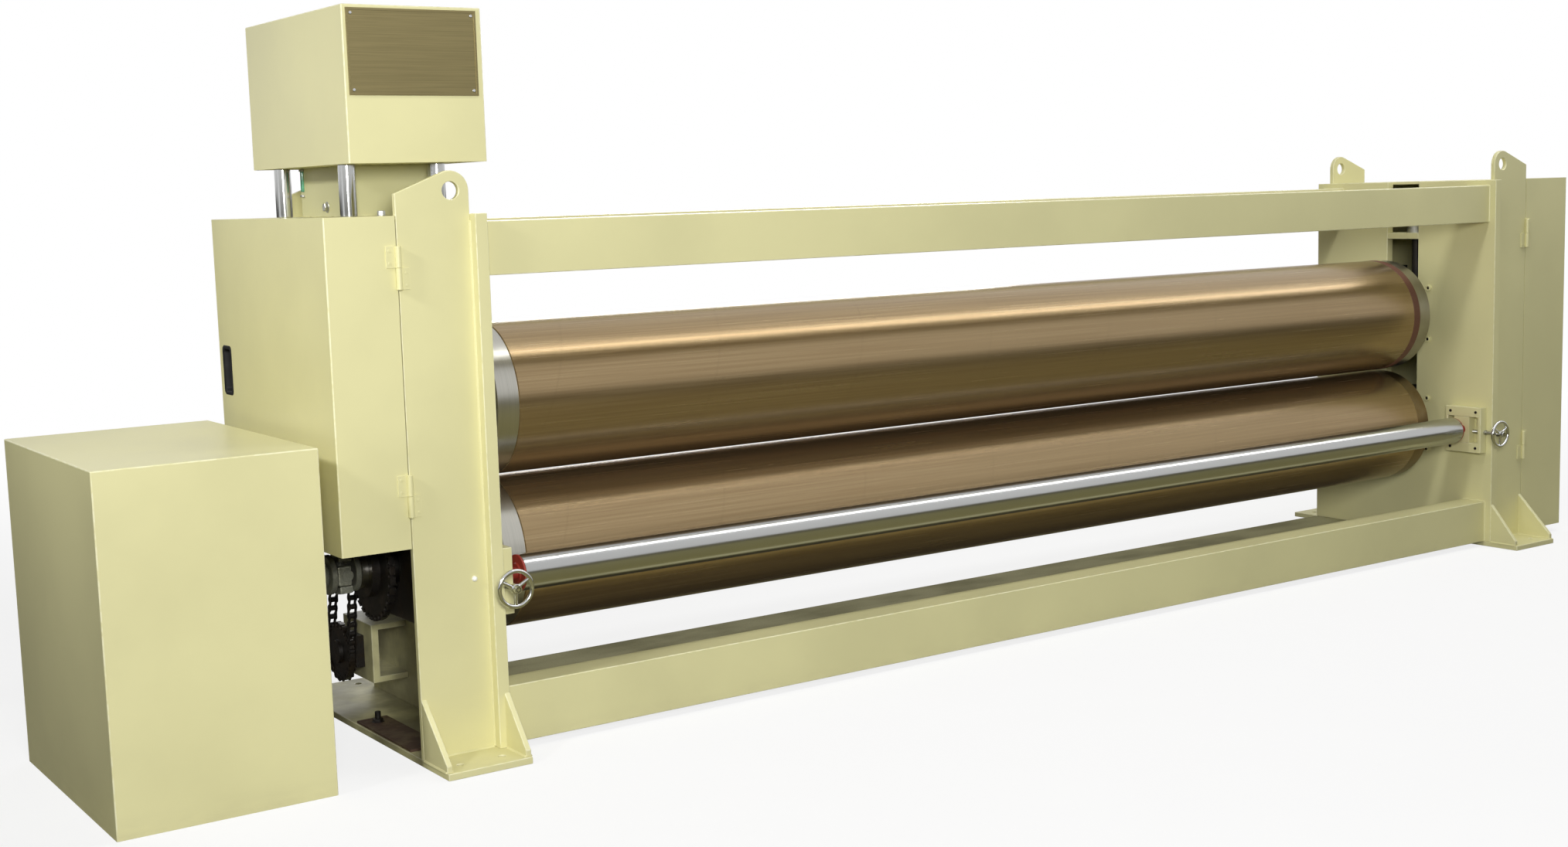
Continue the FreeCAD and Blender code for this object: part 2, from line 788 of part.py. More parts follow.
def sprocket(teeth, hub_r, hub_side, bore_r, axis_y, axis_z):
    """Toothed plate with a hub on both sides; gaps between teeth take the chain's rollers."""
    body = doc.addObject("PartDesign::Body", "Sprocket")
    hub = new_sketch(body, "YZ")
    circle(hub, (0, 0), hub_r)
    circle(hub, (0, 0), bore_r)
    pad(body, hub, d.sprocket_thick + 2 * hub_side)
    plate = new_sketch(body, "YZ")
    plate.setExpression("AttachmentOffset.Base.z", hub_side.words)
    circle(plate, (0, 0), pitch_radius(teeth) + d.tooth_rise)
    circle(plate, (0, 0), bore_r)
    pad(body, plate, d.sprocket_thick)
    gap = new_sketch(body, "YZ")
    circle(gap, (0, pitch_radius(teeth)), d.chain_roller_r)
    gaps = pocket_through(body, gap)
    pattern = body.newObject("PartDesign::PolarPattern", "ToothGaps")
    pattern.Originals = [gaps]
    pattern.Axis = (origin_part(body, "X_Axis"), [""])
    pattern.Angle = 360
    bind(pattern, Occurrences=teeth)
    body.Tip = pattern
    return bind(body, x=out(-1, d.sprocket_far + hub_side), y=axis_y, z=axis_z)


def tension_sprocket():
    hub_r, hub_side, shaft_r = d.tension_hub_r, d.tension_hub_side, d.tension_shaft_r
    wheel = sprocket(d.tension_teeth, hub_r, hub_side, shaft_r, d.tension_y, d.tension_z)
    reach = (d.bracket_reach - d.bracket_web - d.bracket_flange, d.sprocket_far + hub_side)
    return fuse(wheel, end_rod(-1, reach, d.tension_y, d.tension_z, shaft_r))


def tension_bracket():
    y, z = d.tension_y, d.tension_z
    across = (y - d.bracket_half_y, y + d.bracket_half_y)
    high = (z - d.bracket_half_z, z + d.bracket_half_z)
    web_near = d.bracket_reach - d.bracket_web
    block = end_box(-1, (d.wall_thick, d.bracket_reach), across, high)
    inside = (high[0] + d.bracket_flange, high[1] - d.bracket_flange)
    channel = end_box(-1, (d.wall_thick, web_near), across, inside)
    return cut(block, channel, end_rod(-1, (web_near, d.bracket_reach), y, z, d.tension_shaft_r + d.fit_gap))


def tension_bearing():
    y, z, half = d.tension_y, d.tension_z, d.tension_block_half
    reach = (d.bracket_reach, d.bracket_reach + d.tension_block_thick)
    block = end_box(-1, reach, (y - half, y + half), (z - half, z + half))
    return cut(block, end_rod(-1, reach, y, z, d.tension_shaft_r + d.fit_gap))


def chain_wheels():
    """Centre, pitch radius and turning sense of the three sprockets, in the chain's order."""
    large, small = pitch_radius(d.sprocket_teeth).number, pitch_radius(d.tension_teeth).number
    upper = (FreeCAD.Vector(0, 0, d.upper_z.number), large, 1)
    lower = (FreeCAD.Vector(0, 0, d.lower_z.number), large, -1)
    tension = (FreeCAD.Vector(0, d.tension_y.number, d.tension_z.number), small, 1)
    return [upper, lower, tension]


def left_of(way):
    return FreeCAD.Vector(0, -way.z, way.y)


def free_span(wheel, following):
    """Ends and direction of the straight run of chain from one sprocket to the next."""
    (centre, radius, sense), (next_centre, next_radius, next_sense) = wheel, following
    line = next_centre - centre
    lean = math.asin((next_sense * next_radius - sense * radius) / line.Length)
    ahead = FreeCAD.Vector(line).normalize()
    way = ahead * math.cos(lean) - left_of(ahead) * math.sin(lean)
    return centre - left_of(way) * radius * sense, next_centre - left_of(way) * next_radius * next_sense, way


def chain_loop(shift):
    """Closed wire that runs beside the chain's pitch line, shift to the left of it."""
    wheels = chain_wheels()
    spans = [free_span(wheels[i], wheels[(i + 1) % len(wheels)]) for i in range(len(wheels))]
    edges = []
    for i, (centre, radius, sense) in enumerate(wheels):
        before, after = spans[i - 1], spans[i]
        arrive, leave = before[1] + left_of(before[2]) * shift, after[0] + left_of(after[2]) * shift
        spoke_in, spoke_out = arrive - centre, leave - centre
        turn = math.atan2(spoke_out.z, spoke_out.y) - math.atan2(spoke_in.z, spoke_in.y)
        turn = turn % (2 * math.pi) if sense > 0 else -(-turn % (2 * math.pi))
        quarter = FreeCAD.Rotation(FreeCAD.Vector(1, 0, 0), math.degrees(turn / 2))
        edges.append(Part.Arc(arrive, centre + quarter.multVec(spoke_in), leave).toShape())
        run_end = after[1] + left_of(after[2]) * shift
        edges.append(Part.LineSegment(leave, run_end).toShape())
    return Part.Wire(edges)


def drive_chain():
    """Link plates on both sides of the sprockets, tied by pins along the free runs."""
    half, thick = d.link_half_high.number, d.link_thick.number
    band = Part.Face(chain_loop(-half)).cut(Part.Face(chain_loop(half)))
    inner_x = out(-1, d.sprocket_reach - d.link_gap).number
    outer_x = out(-1, d.sprocket_far + d.link_gap).number - thick
    plates = [band.extrude(FreeCAD.Vector(thick, 0, 0)) for place in range(2)]
    plates[0].translate(FreeCAD.Vector(inner_x, 0, 0))
    plates[1].translate(FreeCAD.Vector(outer_x, 0, 0))
    wheels = chain_wheels()
    reach = d.tooth_rise.number + 2 * d.chain_pin_r.number
    pins = []
    for i, wheel in enumerate(wheels):
        following = wheels[(i + 1) % len(wheels)]
        start, end, way = free_span(wheel, following)
        pitch = d.chain_pitch.number
        for step in range(1, int((end - start).Length / pitch)):
            spot = start + way * pitch * step
            clear = [(spot - centre).Length - radius - reach for centre, radius, sense in wheels]
            if min(clear) > 0:
                base = FreeCAD.Vector(outer_x, spot.y, spot.z)
                length = inner_x + thick - outer_x
                pins.append(Part.makeCylinder(d.chain_pin_r.number, length, base, FreeCAD.Vector(1, 0, 0)))
    chain = doc.addObject("Part::Feature", "Chain")
    chain.Shape = plates[0].multiFuse([plates[1]] + pins)
    return chain


def build_chain_drive():
    for name, axis_z in (("upper", d.upper_z), ("lower", d.lower_z)):
        bore = d.journal_r + d.fit_gap
        publish(name + "_sprocket", sprocket(d.sprocket_teeth, d.hub_r, d.hub_side, bore, 0, axis_z))
    publish("tension_sprocket", tension_sprocket())
    publish("tension_bracket", tension_bracket())
    publish("tension_bearing", tension_bearing())
    publish("drive_chain", drive_chain())


# Joint shaft, reducer and motor on the floor at the left

def ear_pair(near, far, upright):
    """Two fork ears that stand above and below, or before and behind, the shaft's axis."""
    wide, outer, inner = d.joint_ear_wide / 2, d.joint_r, d.joint_r - d.joint_ear_thick
    ears = []
    for sign in (-1, 1):
        spread = (inner, outer) if sign > 0 else (-outer, -inner)
        y, z = ((-wide, wide), spread) if upright else (spread, (-wide, wide))
        ears.append(end_box(-1, (near, far), y, (d.lower_z + z[0], d.lower_z + z[1])))
    return ears


def universal_joint(start):
    """Flange, two forks at right angles and the cross between them, from start outwards."""
    fork = start + d.joint_flange_thick
    middle = fork + d.joint_ear_long / 2
    end = fork + d.joint_ear_long
    flanges = [
        end_rod(-1, (start, fork), 0, d.lower_z, d.joint_r),
        end_rod(-1, (end, end + d.joint_flange_thick), 0, d.lower_z, d.joint_r),
    ]
    ears = ear_pair(fork, middle + d.joint_cross_r, True) + ear_pair(middle - d.joint_cross_r, end, False)
    x, arm = out(-1, middle), 2 * d.joint_r
    cross = [
        rod("Z", (x, 0, d.lower_z - d.joint_r), arm, d.joint_cross_r),
        rod("Y", (x, -d.joint_r, d.lower_z), arm, d.joint_cross_r),
    ]
    return flanges + ears + cross


joint_long = d.joint_ear_long + 2 * d.joint_flange_thick


def joint_shaft():
    near, far = d.lower_shaft_reach, d.joint_end - joint_long
    tube = end_rod(-1, (near + joint_long, far), 0, d.lower_z, d.joint_tube_r)
    output = end_rod(-1, (d.joint_end, d.joint_end + d.output_shaft_long), 0, d.lower_z, d.output_shaft_r)
    return fuse(*universal_joint(near), tube, *universal_joint(far), output)


def gear_reducer():
    half_y, half_z = d.reducer_half_y, d.reducer_half_z
    high = (d.lower_z - half_z, d.lower_z + half_z)
    case = end_box(-1, (d.reducer_near, d.reducer_far), (-half_y, half_y), high)
    boss = end_rod(-1, (d.joint_end + d.slide_gap, d.reducer_near), 0, d.lower_z, d.reducer_boss_r)
    socket_reach = (d.joint_end, d.joint_end + d.output_shaft_long + d.slide_gap)
    return cut(fuse(case, boss), end_rod(-1, socket_reach, 0, d.lower_z, d.output_shaft_r + d.fit_gap))


def drive_motor():
    wide, foot_z = d.motor_foot_half, d.lower_z - d.reducer_half_z
    barrel = end_rod(-1, (d.reducer_far, d.motor_far), 0, d.lower_z, d.motor_r)
    foot_end = d.reducer_far + d.motor_long / 2
    foot = end_box(-1, (d.reducer_far, foot_end), (-wide, wide), (foot_z, d.lower_z))
    top = d.lower_z + d.motor_r
    terminal_y = (-d.terminal_wide / 2, d.terminal_wide / 2)
    terminal_near = d.reducer_far + d.terminal_set
    terminal_reach = (terminal_near, terminal_near + d.terminal_long)
    terminal = end_box(-1, terminal_reach, terminal_y, (d.lower_z, top + d.terminal_high))
    return fuse(barrel, foot, terminal)


def drive_base():
    """Stand for the reducer and motor on a floor plate that locates the cover."""
    half, wall, top = d.drive_base_half_y, d.drive_base_wall, d.lower_z - d.reducer_half_z
    reach = (d.reducer_near, d.motor_far)
    stand = end_box(-1, reach, (-half, half), (0, top))
    tunnel = end_box(-1, reach, (wall - half, half - wall), (wall, top - wall))
    edge = d.sheet_thick + d.slide_gap
    floor_reach = (d.cover_near_reach + edge, d.cover_far_reach - edge)
    floor_y = (d.cover_front_y + edge, d.cover_rear_y - edge)
    return fuse(cut(stand, tunnel), end_box(-1, floor_reach, floor_y, (0, d.drive_floor_thick)))


def open_box(side, reach, across, high):
    """Sheet cover with four walls and a top."""
    (near, far), sheet_gap = map(as_size, reach), d.sheet_thick
    outside = end_box(side, reach, across, high)
    inner_y = (across[0] + sheet_gap, across[1] - sheet_gap)
    inner = end_box(side, (near + sheet_gap, far - sheet_gap), inner_y, (high[0], high[1] - sheet_gap))
    return cut(outside, inner)


def drive_cover():
    """Floor cover with a notch that lets it lift off over the joint shaft."""
    across = (d.cover_front_y, d.cover_rear_y)
    shell = open_box(-1, (d.cover_near_reach, d.cover_far_reach), across, (as_size(0), d.cover_top))
    notch_reach = (d.cover_near_reach, d.cover_near_reach + d.sheet_thick)
    half = d.reducer_boss_r + d.cover_notch_gap
    top = d.lower_z + d.reducer_boss_r + d.cover_notch_over
    return cut(shell, end_box(-1, notch_reach, (-half, half), (as_size(0), top)))


def build_drive():
    publish("joint_shaft", joint_shaft())
    publish("gear_reducer", gear_reducer())
    publish("drive_motor", drive_motor())
    publish("drive_base", drive_base())
    publish("drive_cover", drive_cover())


# Tension roll, its sliding blocks and the handwheels

idler_tip = -d.idler_stub_tip
block_half_high = d.guide_half_high - d.guide_rail


def idler_cap(side):
    tube_end = -d.idler_end_gap
    face = tube_end + d.idler_cap_thick
    plug_r = d.idler_r - d.idler_wall - d.fit_gap
    plug = end_rod(side, (tube_end - d.idler_plug_long, tube_end), d.idler_y, d.idler_z, plug_r)
    flange = end_rod(side, (tube_end, face), d.idler_y, d.idler_z, d.idler_r)
    return fuse(plug, flange, end_rod(side, (face, idler_tip), d.idler_y, d.idler_z, d.idler_stub_r))


def idler_tube():
    start, length = (out(-1, -d.idler_end_gap), d.idler_y, d.idler_z), d.wall_gap - 2 * d.idler_end_gap
    return cut(rod("X", start, length, d.idler_r), rod("X", start, length, d.idler_r - d.idler_wall))


def screw_hole(side, low_y, high_y):
    place = (out(side, -d.screw_reach), low_y, d.screw_z)
    return rod("Y", place, high_y - low_y, d.screw_r + d.fit_gap)


def idler_guide(side):
    high = (d.idler_z - d.guide_half_high, d.idler_z + d.guide_half_high)
    frame = end_box(side, (-d.guide_deep, as_size(0)), (d.guide_front_y, d.guide_rear_y), high)
    window_y = (d.guide_front_y + d.guide_front_wall, d.guide_rear_y - d.guide_rear_wall)
    window_z = (d.idler_z - block_half_high, d.idler_z + block_half_high)
    window = end_box(side, (-d.guide_deep, as_size(0)), window_y, window_z)
    return cut(frame, window, screw_hole(side, d.guide_front_y, window_y[0]))


def idler_block(side):
    half = d.block_long / 2
    across = (d.idler_y - half, d.idler_y + half)
    high = block_half_high - d.slide_gap
    reach = (-d.guide_deep, -d.slide_gap)
    block = end_box(side, reach, across, (d.idler_z - high, d.idler_z + high))
    bore_reach = (-d.guide_deep, idler_tip + d.slide_gap)
    bore = end_rod(side, bore_reach, d.idler_y, d.idler_z, d.idler_stub_r + d.fit_gap)
    return cut(block, bore, screw_hole(side, *across))


def adjusting_screw(side):
    def length_of(low_y, high_y, radius):
        return rod("Y", (out(side, -d.screw_reach), low_y, d.screw_z), high_y - low_y, radius)
    front = d.guide_front_y - d.slide_gap
    back = d.guide_front_y + d.guide_front_wall + d.slide_gap
    stem = length_of(d.screw_front_y, d.screw_rear_y, d.screw_r)
    collars = (front - d.collar_long, front), (back, back + d.collar_long)
    return fuse(stem, *(length_of(low, high, d.collar_r) for low, high in collars))


def handwheel(side):
    x, y, z = out(side, -d.screw_reach), d.wheel_y, d.screw_z
    rim = turned(doc.addObject("Part::Torus", "Rim"), "Y")
    bind(rim, x=x, y=y, z=z, Radius1=d.wheel_r, Radius2=d.wheel_rim_r)
    hub_front = d.screw_front_y
    hub = rod("Y", (x, hub_front, z), d.wheel_hub_long, d.wheel_hub_r)
    spokes = []
    for turn in range(SPOKES):
        spoke = rod("Z", (x, y, z), d.wheel_r, d.wheel_spoke_r)
        spoke.Placement.Rotation = FreeCAD.Rotation(FreeCAD.Vector(0, 1, 0), 180 + turn * 360 / SPOKES)
        spokes.append(spoke)
    bore = rod("Y", (x, hub_front, z), d.wheel_hub_long, d.screw_r + d.fit_gap)
    return cut(fuse(rim, hub, *spokes), bore)


def build_tension_roll():
    publish("idler_tube", idler_tube())
    publish("idler_end_caps", together(idler_cap(side) for side in SIDES.values()))
    publish("idler_blocks", together(idler_block(side) for side in SIDES.values()))
    publish("idler_guides", together(idler_guide(side) for side in SIDES.values()))
    for name, side in SIDES.items():
        publish(name + "_screw", adjusting_screw(side))
        publish(name + "_handwheel", handwheel(side))


# End hoods

# Reach, lowest Z, lowest Z of the rear sheet and the heights of the two hinges.
# On the right the rear sheet ends above the foot ribs.
rib_top = d.base_thick + d.gusset_outer_high + d.hood_gap
left_hinge_z = (d.left_hood_z + d.left_hinge_rise, d.wall_top - d.left_hinge_drop)
right_hinge_z = (d.right_hood_z + d.right_hinge_rise, d.wall_top - d.right_hinge_drop)
HOODS = {
    "left": (d.left_hood_reach, d.left_hood_z, d.left_hood_z, left_hinge_z),
    "right": (d.right_hood_reach, d.right_hood_z, rib_top, right_hinge_z),
}
hood_near = d.frame_wide + d.hood_gap
hinge_reach = d.frame_wide + d.hood_gap / 2
hinge_y = column_front_y - d.hinge_r
deck_z = d.wall_top - d.deck_thick


def pull_box(side, reach, margin, depth_far):
    """Box round the middle of the pull, from just outside the hood's side to depth_far inside."""
    half_y, half_z = d.pull_wide / 2 - margin, d.pull_high / 2 - margin
    across = (d.pull_y - half_y, d.pull_y + half_y)
    high = (d.pull_z - half_z, d.pull_z + half_z)
    return end_box(side, (depth_far, reach), across, high)


def hood(side, reach, low_z):
    """Folded door: a front panel on the hinges and a side panel that reaches to the rear."""
    skin = d.sheet_thick
    corners = [
        (out(side, hood_near), column_front_y),
        (out(side, reach), column_front_y),
        (out(side, reach), d.hood_rear_y),
        (out(side, reach - skin), d.hood_rear_y),
        (out(side, reach - skin), column_front_y + skin),
        (out(side, hood_near), column_front_y + skin),
    ]
    door = slab("XY", corners, d.wall_top - low_z, z=low_z)
    return cut(door, pull_box(side, reach, d.pull_rim - d.slide_gap, reach - skin))


def hood_pull(side, reach):
    """Recessed cup with a rim that lies on the hood's side."""
    rim = pull_box(side, reach + d.pull_rim_thick, as_size(0), reach)
    cup = pull_box(side, reach, d.pull_rim, reach - d.pull_deep)
    hollow_far = reach - d.pull_deep + d.pull_wall
    hollow = pull_box(side, reach + d.pull_rim_thick, d.pull_rim + d.pull_wall, hollow_far)
    return cut(fuse(rim, cup), hollow)


def hood_deck(side, reach):
    """Top plate that closes the hood and runs in between the column plates to the wall."""
    clear, inner = d.slide_gap, -column_rear_y - d.slide_gap
    front, rear = column_front_y + d.sheet_thick + clear, d.hood_rear_y - d.sheet_thick
    step, edge = out(side, d.frame_wide + clear), out(side, reach - d.sheet_thick - clear)
    wall = out(side, d.wall_thick)
    corners = [(wall, -inner), (step, -inner), (step, front), (edge, front)]
    corners += [(edge, rear), (step, rear), (step, inner), (wall, inner)]
    return slab("XY", corners, d.deck_thick, z=deck_z)


def hood_rear_panel(side, reach, low_z):
    """Fixed rear sheet with a return that stands on the rear column plate."""
    skin, edge = d.sheet_thick, reach - d.sheet_thick - d.slide_gap
    corners = [
        (out(side, d.hood_return_reach), -column_front_y),
        (out(side, d.hood_return_reach), d.hood_rear_y),
        (out(side, edge), d.hood_rear_y),
        (out(side, edge), d.hood_rear_y - skin),
        (out(side, d.hood_return_reach + skin), d.hood_rear_y - skin),
        (out(side, d.hood_return_reach + skin), -column_front_y),
    ]
    return slab("XY", corners, d.wall_top - low_z, z=low_z)


def hinge_leaf(side, near, far, low_z, high_z):
    across = (column_front_y - d.hinge_leaf_thick, column_front_y)
    return end_box(side, (near, far), across, (low_z, high_z))


def hinge_post(side, middle_z):
    """Lower knuckle with its leaf on the column plate and the pin that stands up from it."""
    x, low, top = out(side, hinge_reach), middle_z - d.hinge_long / 2, middle_z - d.slide_gap
    knuckle = rod("Z", (x, hinge_y, low), top - low, d.hinge_r)
    pin = rod("Z", (x, hinge_y, low), d.hinge_long, d.hinge_pin_r)
    leaf = hinge_leaf(side, hinge_reach - d.hinge_leaf_wide, hinge_reach - d.hood_gap / 2, low, top)
    return fuse(knuckle, pin, leaf)


def hinge_knuckle(side, middle_z):
    """Upper knuckle that turns on the pin, with its leaf on the hood."""
    x, low, top = out(side, hinge_reach), middle_z + d.slide_gap, middle_z + d.hinge_long / 2
    leaf = hinge_leaf(side, hinge_reach + d.hood_gap / 2, hinge_reach + d.hinge_leaf_wide, low, top)
    knuckle = fuse(rod("Z", (x, hinge_y, low), top - low, d.hinge_r), leaf)
    return cut(knuckle, rod("Z", (x, hinge_y, low), top - low, d.hinge_pin_r + d.fit_gap))


def build_hoods():
    posts, decks, rears = [], [], []
    for name, (reach, low_z, rear_low_z, hinge_heights) in HOODS.items():
        side = SIDES[name]
        publish(name + "_hood", hood(side, reach, low_z))
        publish(name + "_hood_pull", hood_pull(side, reach))
        publish(name + "_hood_hinges", together(hinge_knuckle(side, z) for z in hinge_heights))
        posts += [hinge_post(side, z) for z in hinge_heights]
        decks.append(hood_deck(side, reach))
        rears.append(hood_rear_panel(side, reach, rear_low_z))
    publish("hinge_posts", together(posts))
    publish("hood_decks", together(decks))
    publish("hood_rear_panels", together(rears))


# Power pack on posts above the left end

pack_z = d.wall_top + d.post_high


def pack_post(reach, across):
    place = (out(-1, reach), across * d.post_half_y, d.wall_top)
    return rod("Z", place, d.post_high, d.post_r)


def oil_tank():
    wall = d.tank_wall
    across, high = (d.tank_front_y, d.tank_rear_y), (d.wall_top, pack_z)
    inner_y = (across[0] + wall, across[1] - wall)
    outside = end_box(-1, (d.tank_near_reach, d.tank_far_reach), across, high)
    inner_reach = (d.tank_near_reach + wall, d.tank_far_reach - wall)
    return cut(outside, end_box(-1, inner_reach, inner_y, (d.wall_top + wall, pack_z)))


def pack_tray():
    edge = d.sheet_thick + d.slide_gap
    reach = (d.pack_near_reach + edge, d.pack_far_reach - edge)
    return end_box(-1, reach, (d.pack_front_y + edge, d.pack_rear_y - edge), (pack_z, pack_z + d.tray_thick))


def nameplate():
    high = pack_z + d.pack_high - d.plate_top_margin
    reach = (d.pack_near_reach + d.plate_near_margin, d.pack_far_reach - d.plate_side_margin)
    across = (d.pack_front_y - d.plate_thick, d.pack_front_y)
    return end_box(-1, reach, across, (high - d.plate_high, high))


def build_power_pack():
    reaches = (d.post_inner_reach, d.post_outer_reach)
    publish("pack_posts", together(pack_post(reach, across) for reach in reaches for across in (-1, 1)))
    publish("oil_tank", oil_tank())
    publish("pack_tray", pack_tray())
    across, high = (d.pack_front_y, d.pack_rear_y), (pack_z, pack_z + d.pack_high)
    publish("pack_cover", open_box(-1, (d.pack_near_reach, d.pack_far_reach), across, high))
    publish("nameplate", nameplate())
    publish("pump_motor", rod("Z", (out(-1, d.pump_reach), 0, pack_z + d.tray_thick), d.pump_high, d.pump_r))


def check_and_write():
    doc.recompute()
    faults = [obj.Label for obj in doc.Objects if {"Invalid", "Error"} & set(obj.State)]
    faults += [obj.Label for obj in nodes if obj.Shape.isNull() or not obj.Shape.isValid()]
    if faults:
        raise RuntimeError("failed objects: " + ", ".join(faults))
    os.makedirs("parts", exist_ok=True)
    for obj in nodes:
        obj.Shape.exportStep("parts/%s.step" % obj.Label)


build_frames()
build_bearings()
build_roll("upper", d.upper_z, d.upper_shaft_reach)
build_roll("lower", d.lower_z, d.lower_shaft_reach)
build_chain_drive()
build_drive()
build_tension_roll()
build_hoods()
build_power_pack()
check_and_write()
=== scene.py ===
"""Dresses a packed two-roll ironing machine: painted plates, coated rolls, a polished tension roll,
sheet hoods, a chain drive and a covered power pack, on a studio floor."""

import json
import math

import bmesh
import bpy
from bpy.props import FloatProperty, FloatVectorProperty, IntProperty, PointerProperty
from mathutils import Matrix, Vector
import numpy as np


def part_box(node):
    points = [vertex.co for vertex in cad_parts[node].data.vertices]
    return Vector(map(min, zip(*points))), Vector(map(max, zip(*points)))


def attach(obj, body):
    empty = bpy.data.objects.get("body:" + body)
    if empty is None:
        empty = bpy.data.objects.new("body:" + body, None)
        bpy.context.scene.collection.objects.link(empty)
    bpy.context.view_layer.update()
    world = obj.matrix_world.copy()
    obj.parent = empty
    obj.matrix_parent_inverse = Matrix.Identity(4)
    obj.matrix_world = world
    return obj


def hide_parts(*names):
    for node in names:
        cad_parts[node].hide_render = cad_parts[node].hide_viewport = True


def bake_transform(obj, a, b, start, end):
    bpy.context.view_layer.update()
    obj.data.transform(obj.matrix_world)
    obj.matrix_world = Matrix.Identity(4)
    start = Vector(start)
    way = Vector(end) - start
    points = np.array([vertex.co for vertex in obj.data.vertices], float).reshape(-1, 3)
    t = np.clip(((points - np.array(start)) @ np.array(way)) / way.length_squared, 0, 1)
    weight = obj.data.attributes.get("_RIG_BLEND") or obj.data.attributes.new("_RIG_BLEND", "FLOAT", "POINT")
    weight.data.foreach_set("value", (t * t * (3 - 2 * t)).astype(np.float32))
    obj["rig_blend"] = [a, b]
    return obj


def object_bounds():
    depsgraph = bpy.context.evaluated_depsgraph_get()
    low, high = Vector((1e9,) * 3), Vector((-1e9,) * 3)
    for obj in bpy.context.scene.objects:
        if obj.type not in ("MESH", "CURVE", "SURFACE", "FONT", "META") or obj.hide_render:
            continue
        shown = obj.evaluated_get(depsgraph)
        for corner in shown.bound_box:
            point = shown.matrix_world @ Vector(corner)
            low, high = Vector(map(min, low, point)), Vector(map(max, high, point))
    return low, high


bl_info = {
    "name": "Two-roll ironing machine",
    "version": (1, 0, 0),
    "blender": (4, 5, 0),
    "location": "View3D > Sidebar > Ironing machine",
    "description": "Dresses the packed frame of a two-roll ironing machine and lights it on a floor",
    "category": "Object",
}

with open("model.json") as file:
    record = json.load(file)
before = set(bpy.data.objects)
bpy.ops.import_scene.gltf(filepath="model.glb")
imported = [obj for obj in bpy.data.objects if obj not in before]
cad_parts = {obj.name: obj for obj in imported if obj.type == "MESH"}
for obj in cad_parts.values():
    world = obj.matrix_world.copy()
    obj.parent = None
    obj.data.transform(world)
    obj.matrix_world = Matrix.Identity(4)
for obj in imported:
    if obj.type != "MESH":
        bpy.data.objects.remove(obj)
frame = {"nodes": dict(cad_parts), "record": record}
CAD_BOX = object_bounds()
BODY_OF = {node: body for body, nodes in frame["record"]["behaviour"]["bodies"].items() for node in nodes}
SLOT_OF = {part["node"]: part["material_slot"] for part in frame["record"]["subparts"]}

WELD_GAP = 1e-5
FLAT_ANGLE = math.radians(0.4)
SHARP_ANGLE = math.radians(28)
SMOOTH_ANGLE = math.radians(40)
ENDS = {"left": -1, "right": 1}
FINISH_TAIL = "_finish"
X, Y, Z = Vector((1, 0, 0)), Vector((0, 1, 0)), Vector((0, 0, 1))

# Turns of what is made along the local X axis
TO_X = Matrix.Identity(4)
TO_BACK_X = Matrix.Rotation(math.radians(180), 4, "Z")
TO_Y = Matrix.Rotation(math.radians(90), 4, "Z")
TO_FRONT = Matrix.Rotation(math.radians(-90), 4, "Z")
TO_Z = Matrix.Rotation(math.radians(-90), 4, "Y")


def seen(red, green, blue):
    """Linear colour with alpha of a colour given as it shows on a screen, from 0 to 255."""
    def linear(level):
        level /= 255
        return level / 12.92 if level <= 0.04045 else ((level + 0.055) / 1.055) ** 2.4
    return linear(red), linear(green), linear(blue), 1.0


def number(name, default, description, **more):
    return FloatProperty(name=name, default=default, description=description, **more)


def length(name, default, description):
    return number(name, default, description, min=0, precision=5, unit="LENGTH")


def angle(name, degrees, description):
    return number(name, math.radians(degrees), description, unit="ROTATION")


def power(name, default, description):
    return number(name, default, description, min=0, unit="POWER")


def whole(name, default, description, least):
    return IntProperty(name=name, default=default, description=description, min=least)


def colour(name, levels, description):
    """Colour setting from red, green and blue as they show on a screen."""
    return FloatVectorProperty(
        name=name, default=seen(*levels), description=description, size=4, min=0, max=1, subtype="COLOR"
    )


# Settings that a user would change

class EdgeSizes(bpy.types.PropertyGroup):
    """How far the edges of the pieces are rounded."""

    plate: length("Plates", 0.0025, "Rounding of the edges of thick plates")
    fold: length("Folds", 0.004, "Outside radius of the folds in sheet covers")
    rim: length("Sheet rims", 0.001, "Rounding of the cut rims of sheet covers")
    beam: length("Beams", 0.003, "Rounding of the edges of the hollow cross beams")
    casting: length("Castings", 0.005, "Rounding of cast housings")
    fine: length("Small parts", 0.0008, "Rounding of bolts, hinges and teeth")
    bead: length("Weld beads", 0.006, "Leg of the fillet welds")
    ripple: length("Weld ripple", 0.012, "Distance between two ripples of a weld")


class RollSizes(bpy.types.PropertyGroup):
    """How the rolls are turned and wrapped."""

    steps: whole("Steps", 192, "Faces round each roll", 24)
    small_steps: whole("Small steps", 64, "Faces round small turned parts", 12)
    chamfer: length("Chamfer", 0.0025, "Chamfer on the ends of the turned parts")
    seal_wide: length("Seal width", 0.042, "Width of the sealing band at the end of the upper coating")
    seal_rise: length("Seal rise", 0.0006, "How far the sealing band stands above the coating")
    head_bolts: whole("Head bolts", 10, "Bolts in each roll head", 3)


class WheelSizes(bpy.types.PropertyGroup):
    """Sizes of the spoked handwheels."""

    rim: length("Rim", 0.007, "Radius of the round rim's section")
    set_back: length("Set back", 0.021, "From the hub's front to the rim's plane")
    hub: length("Hub", 0.016, "Radius of the hub")
    spoke: length("Spoke", 0.0048, "Radius of a spoke at the rim")
    spokes: whole("Spokes", 3, "Spokes in a handwheel", 2)


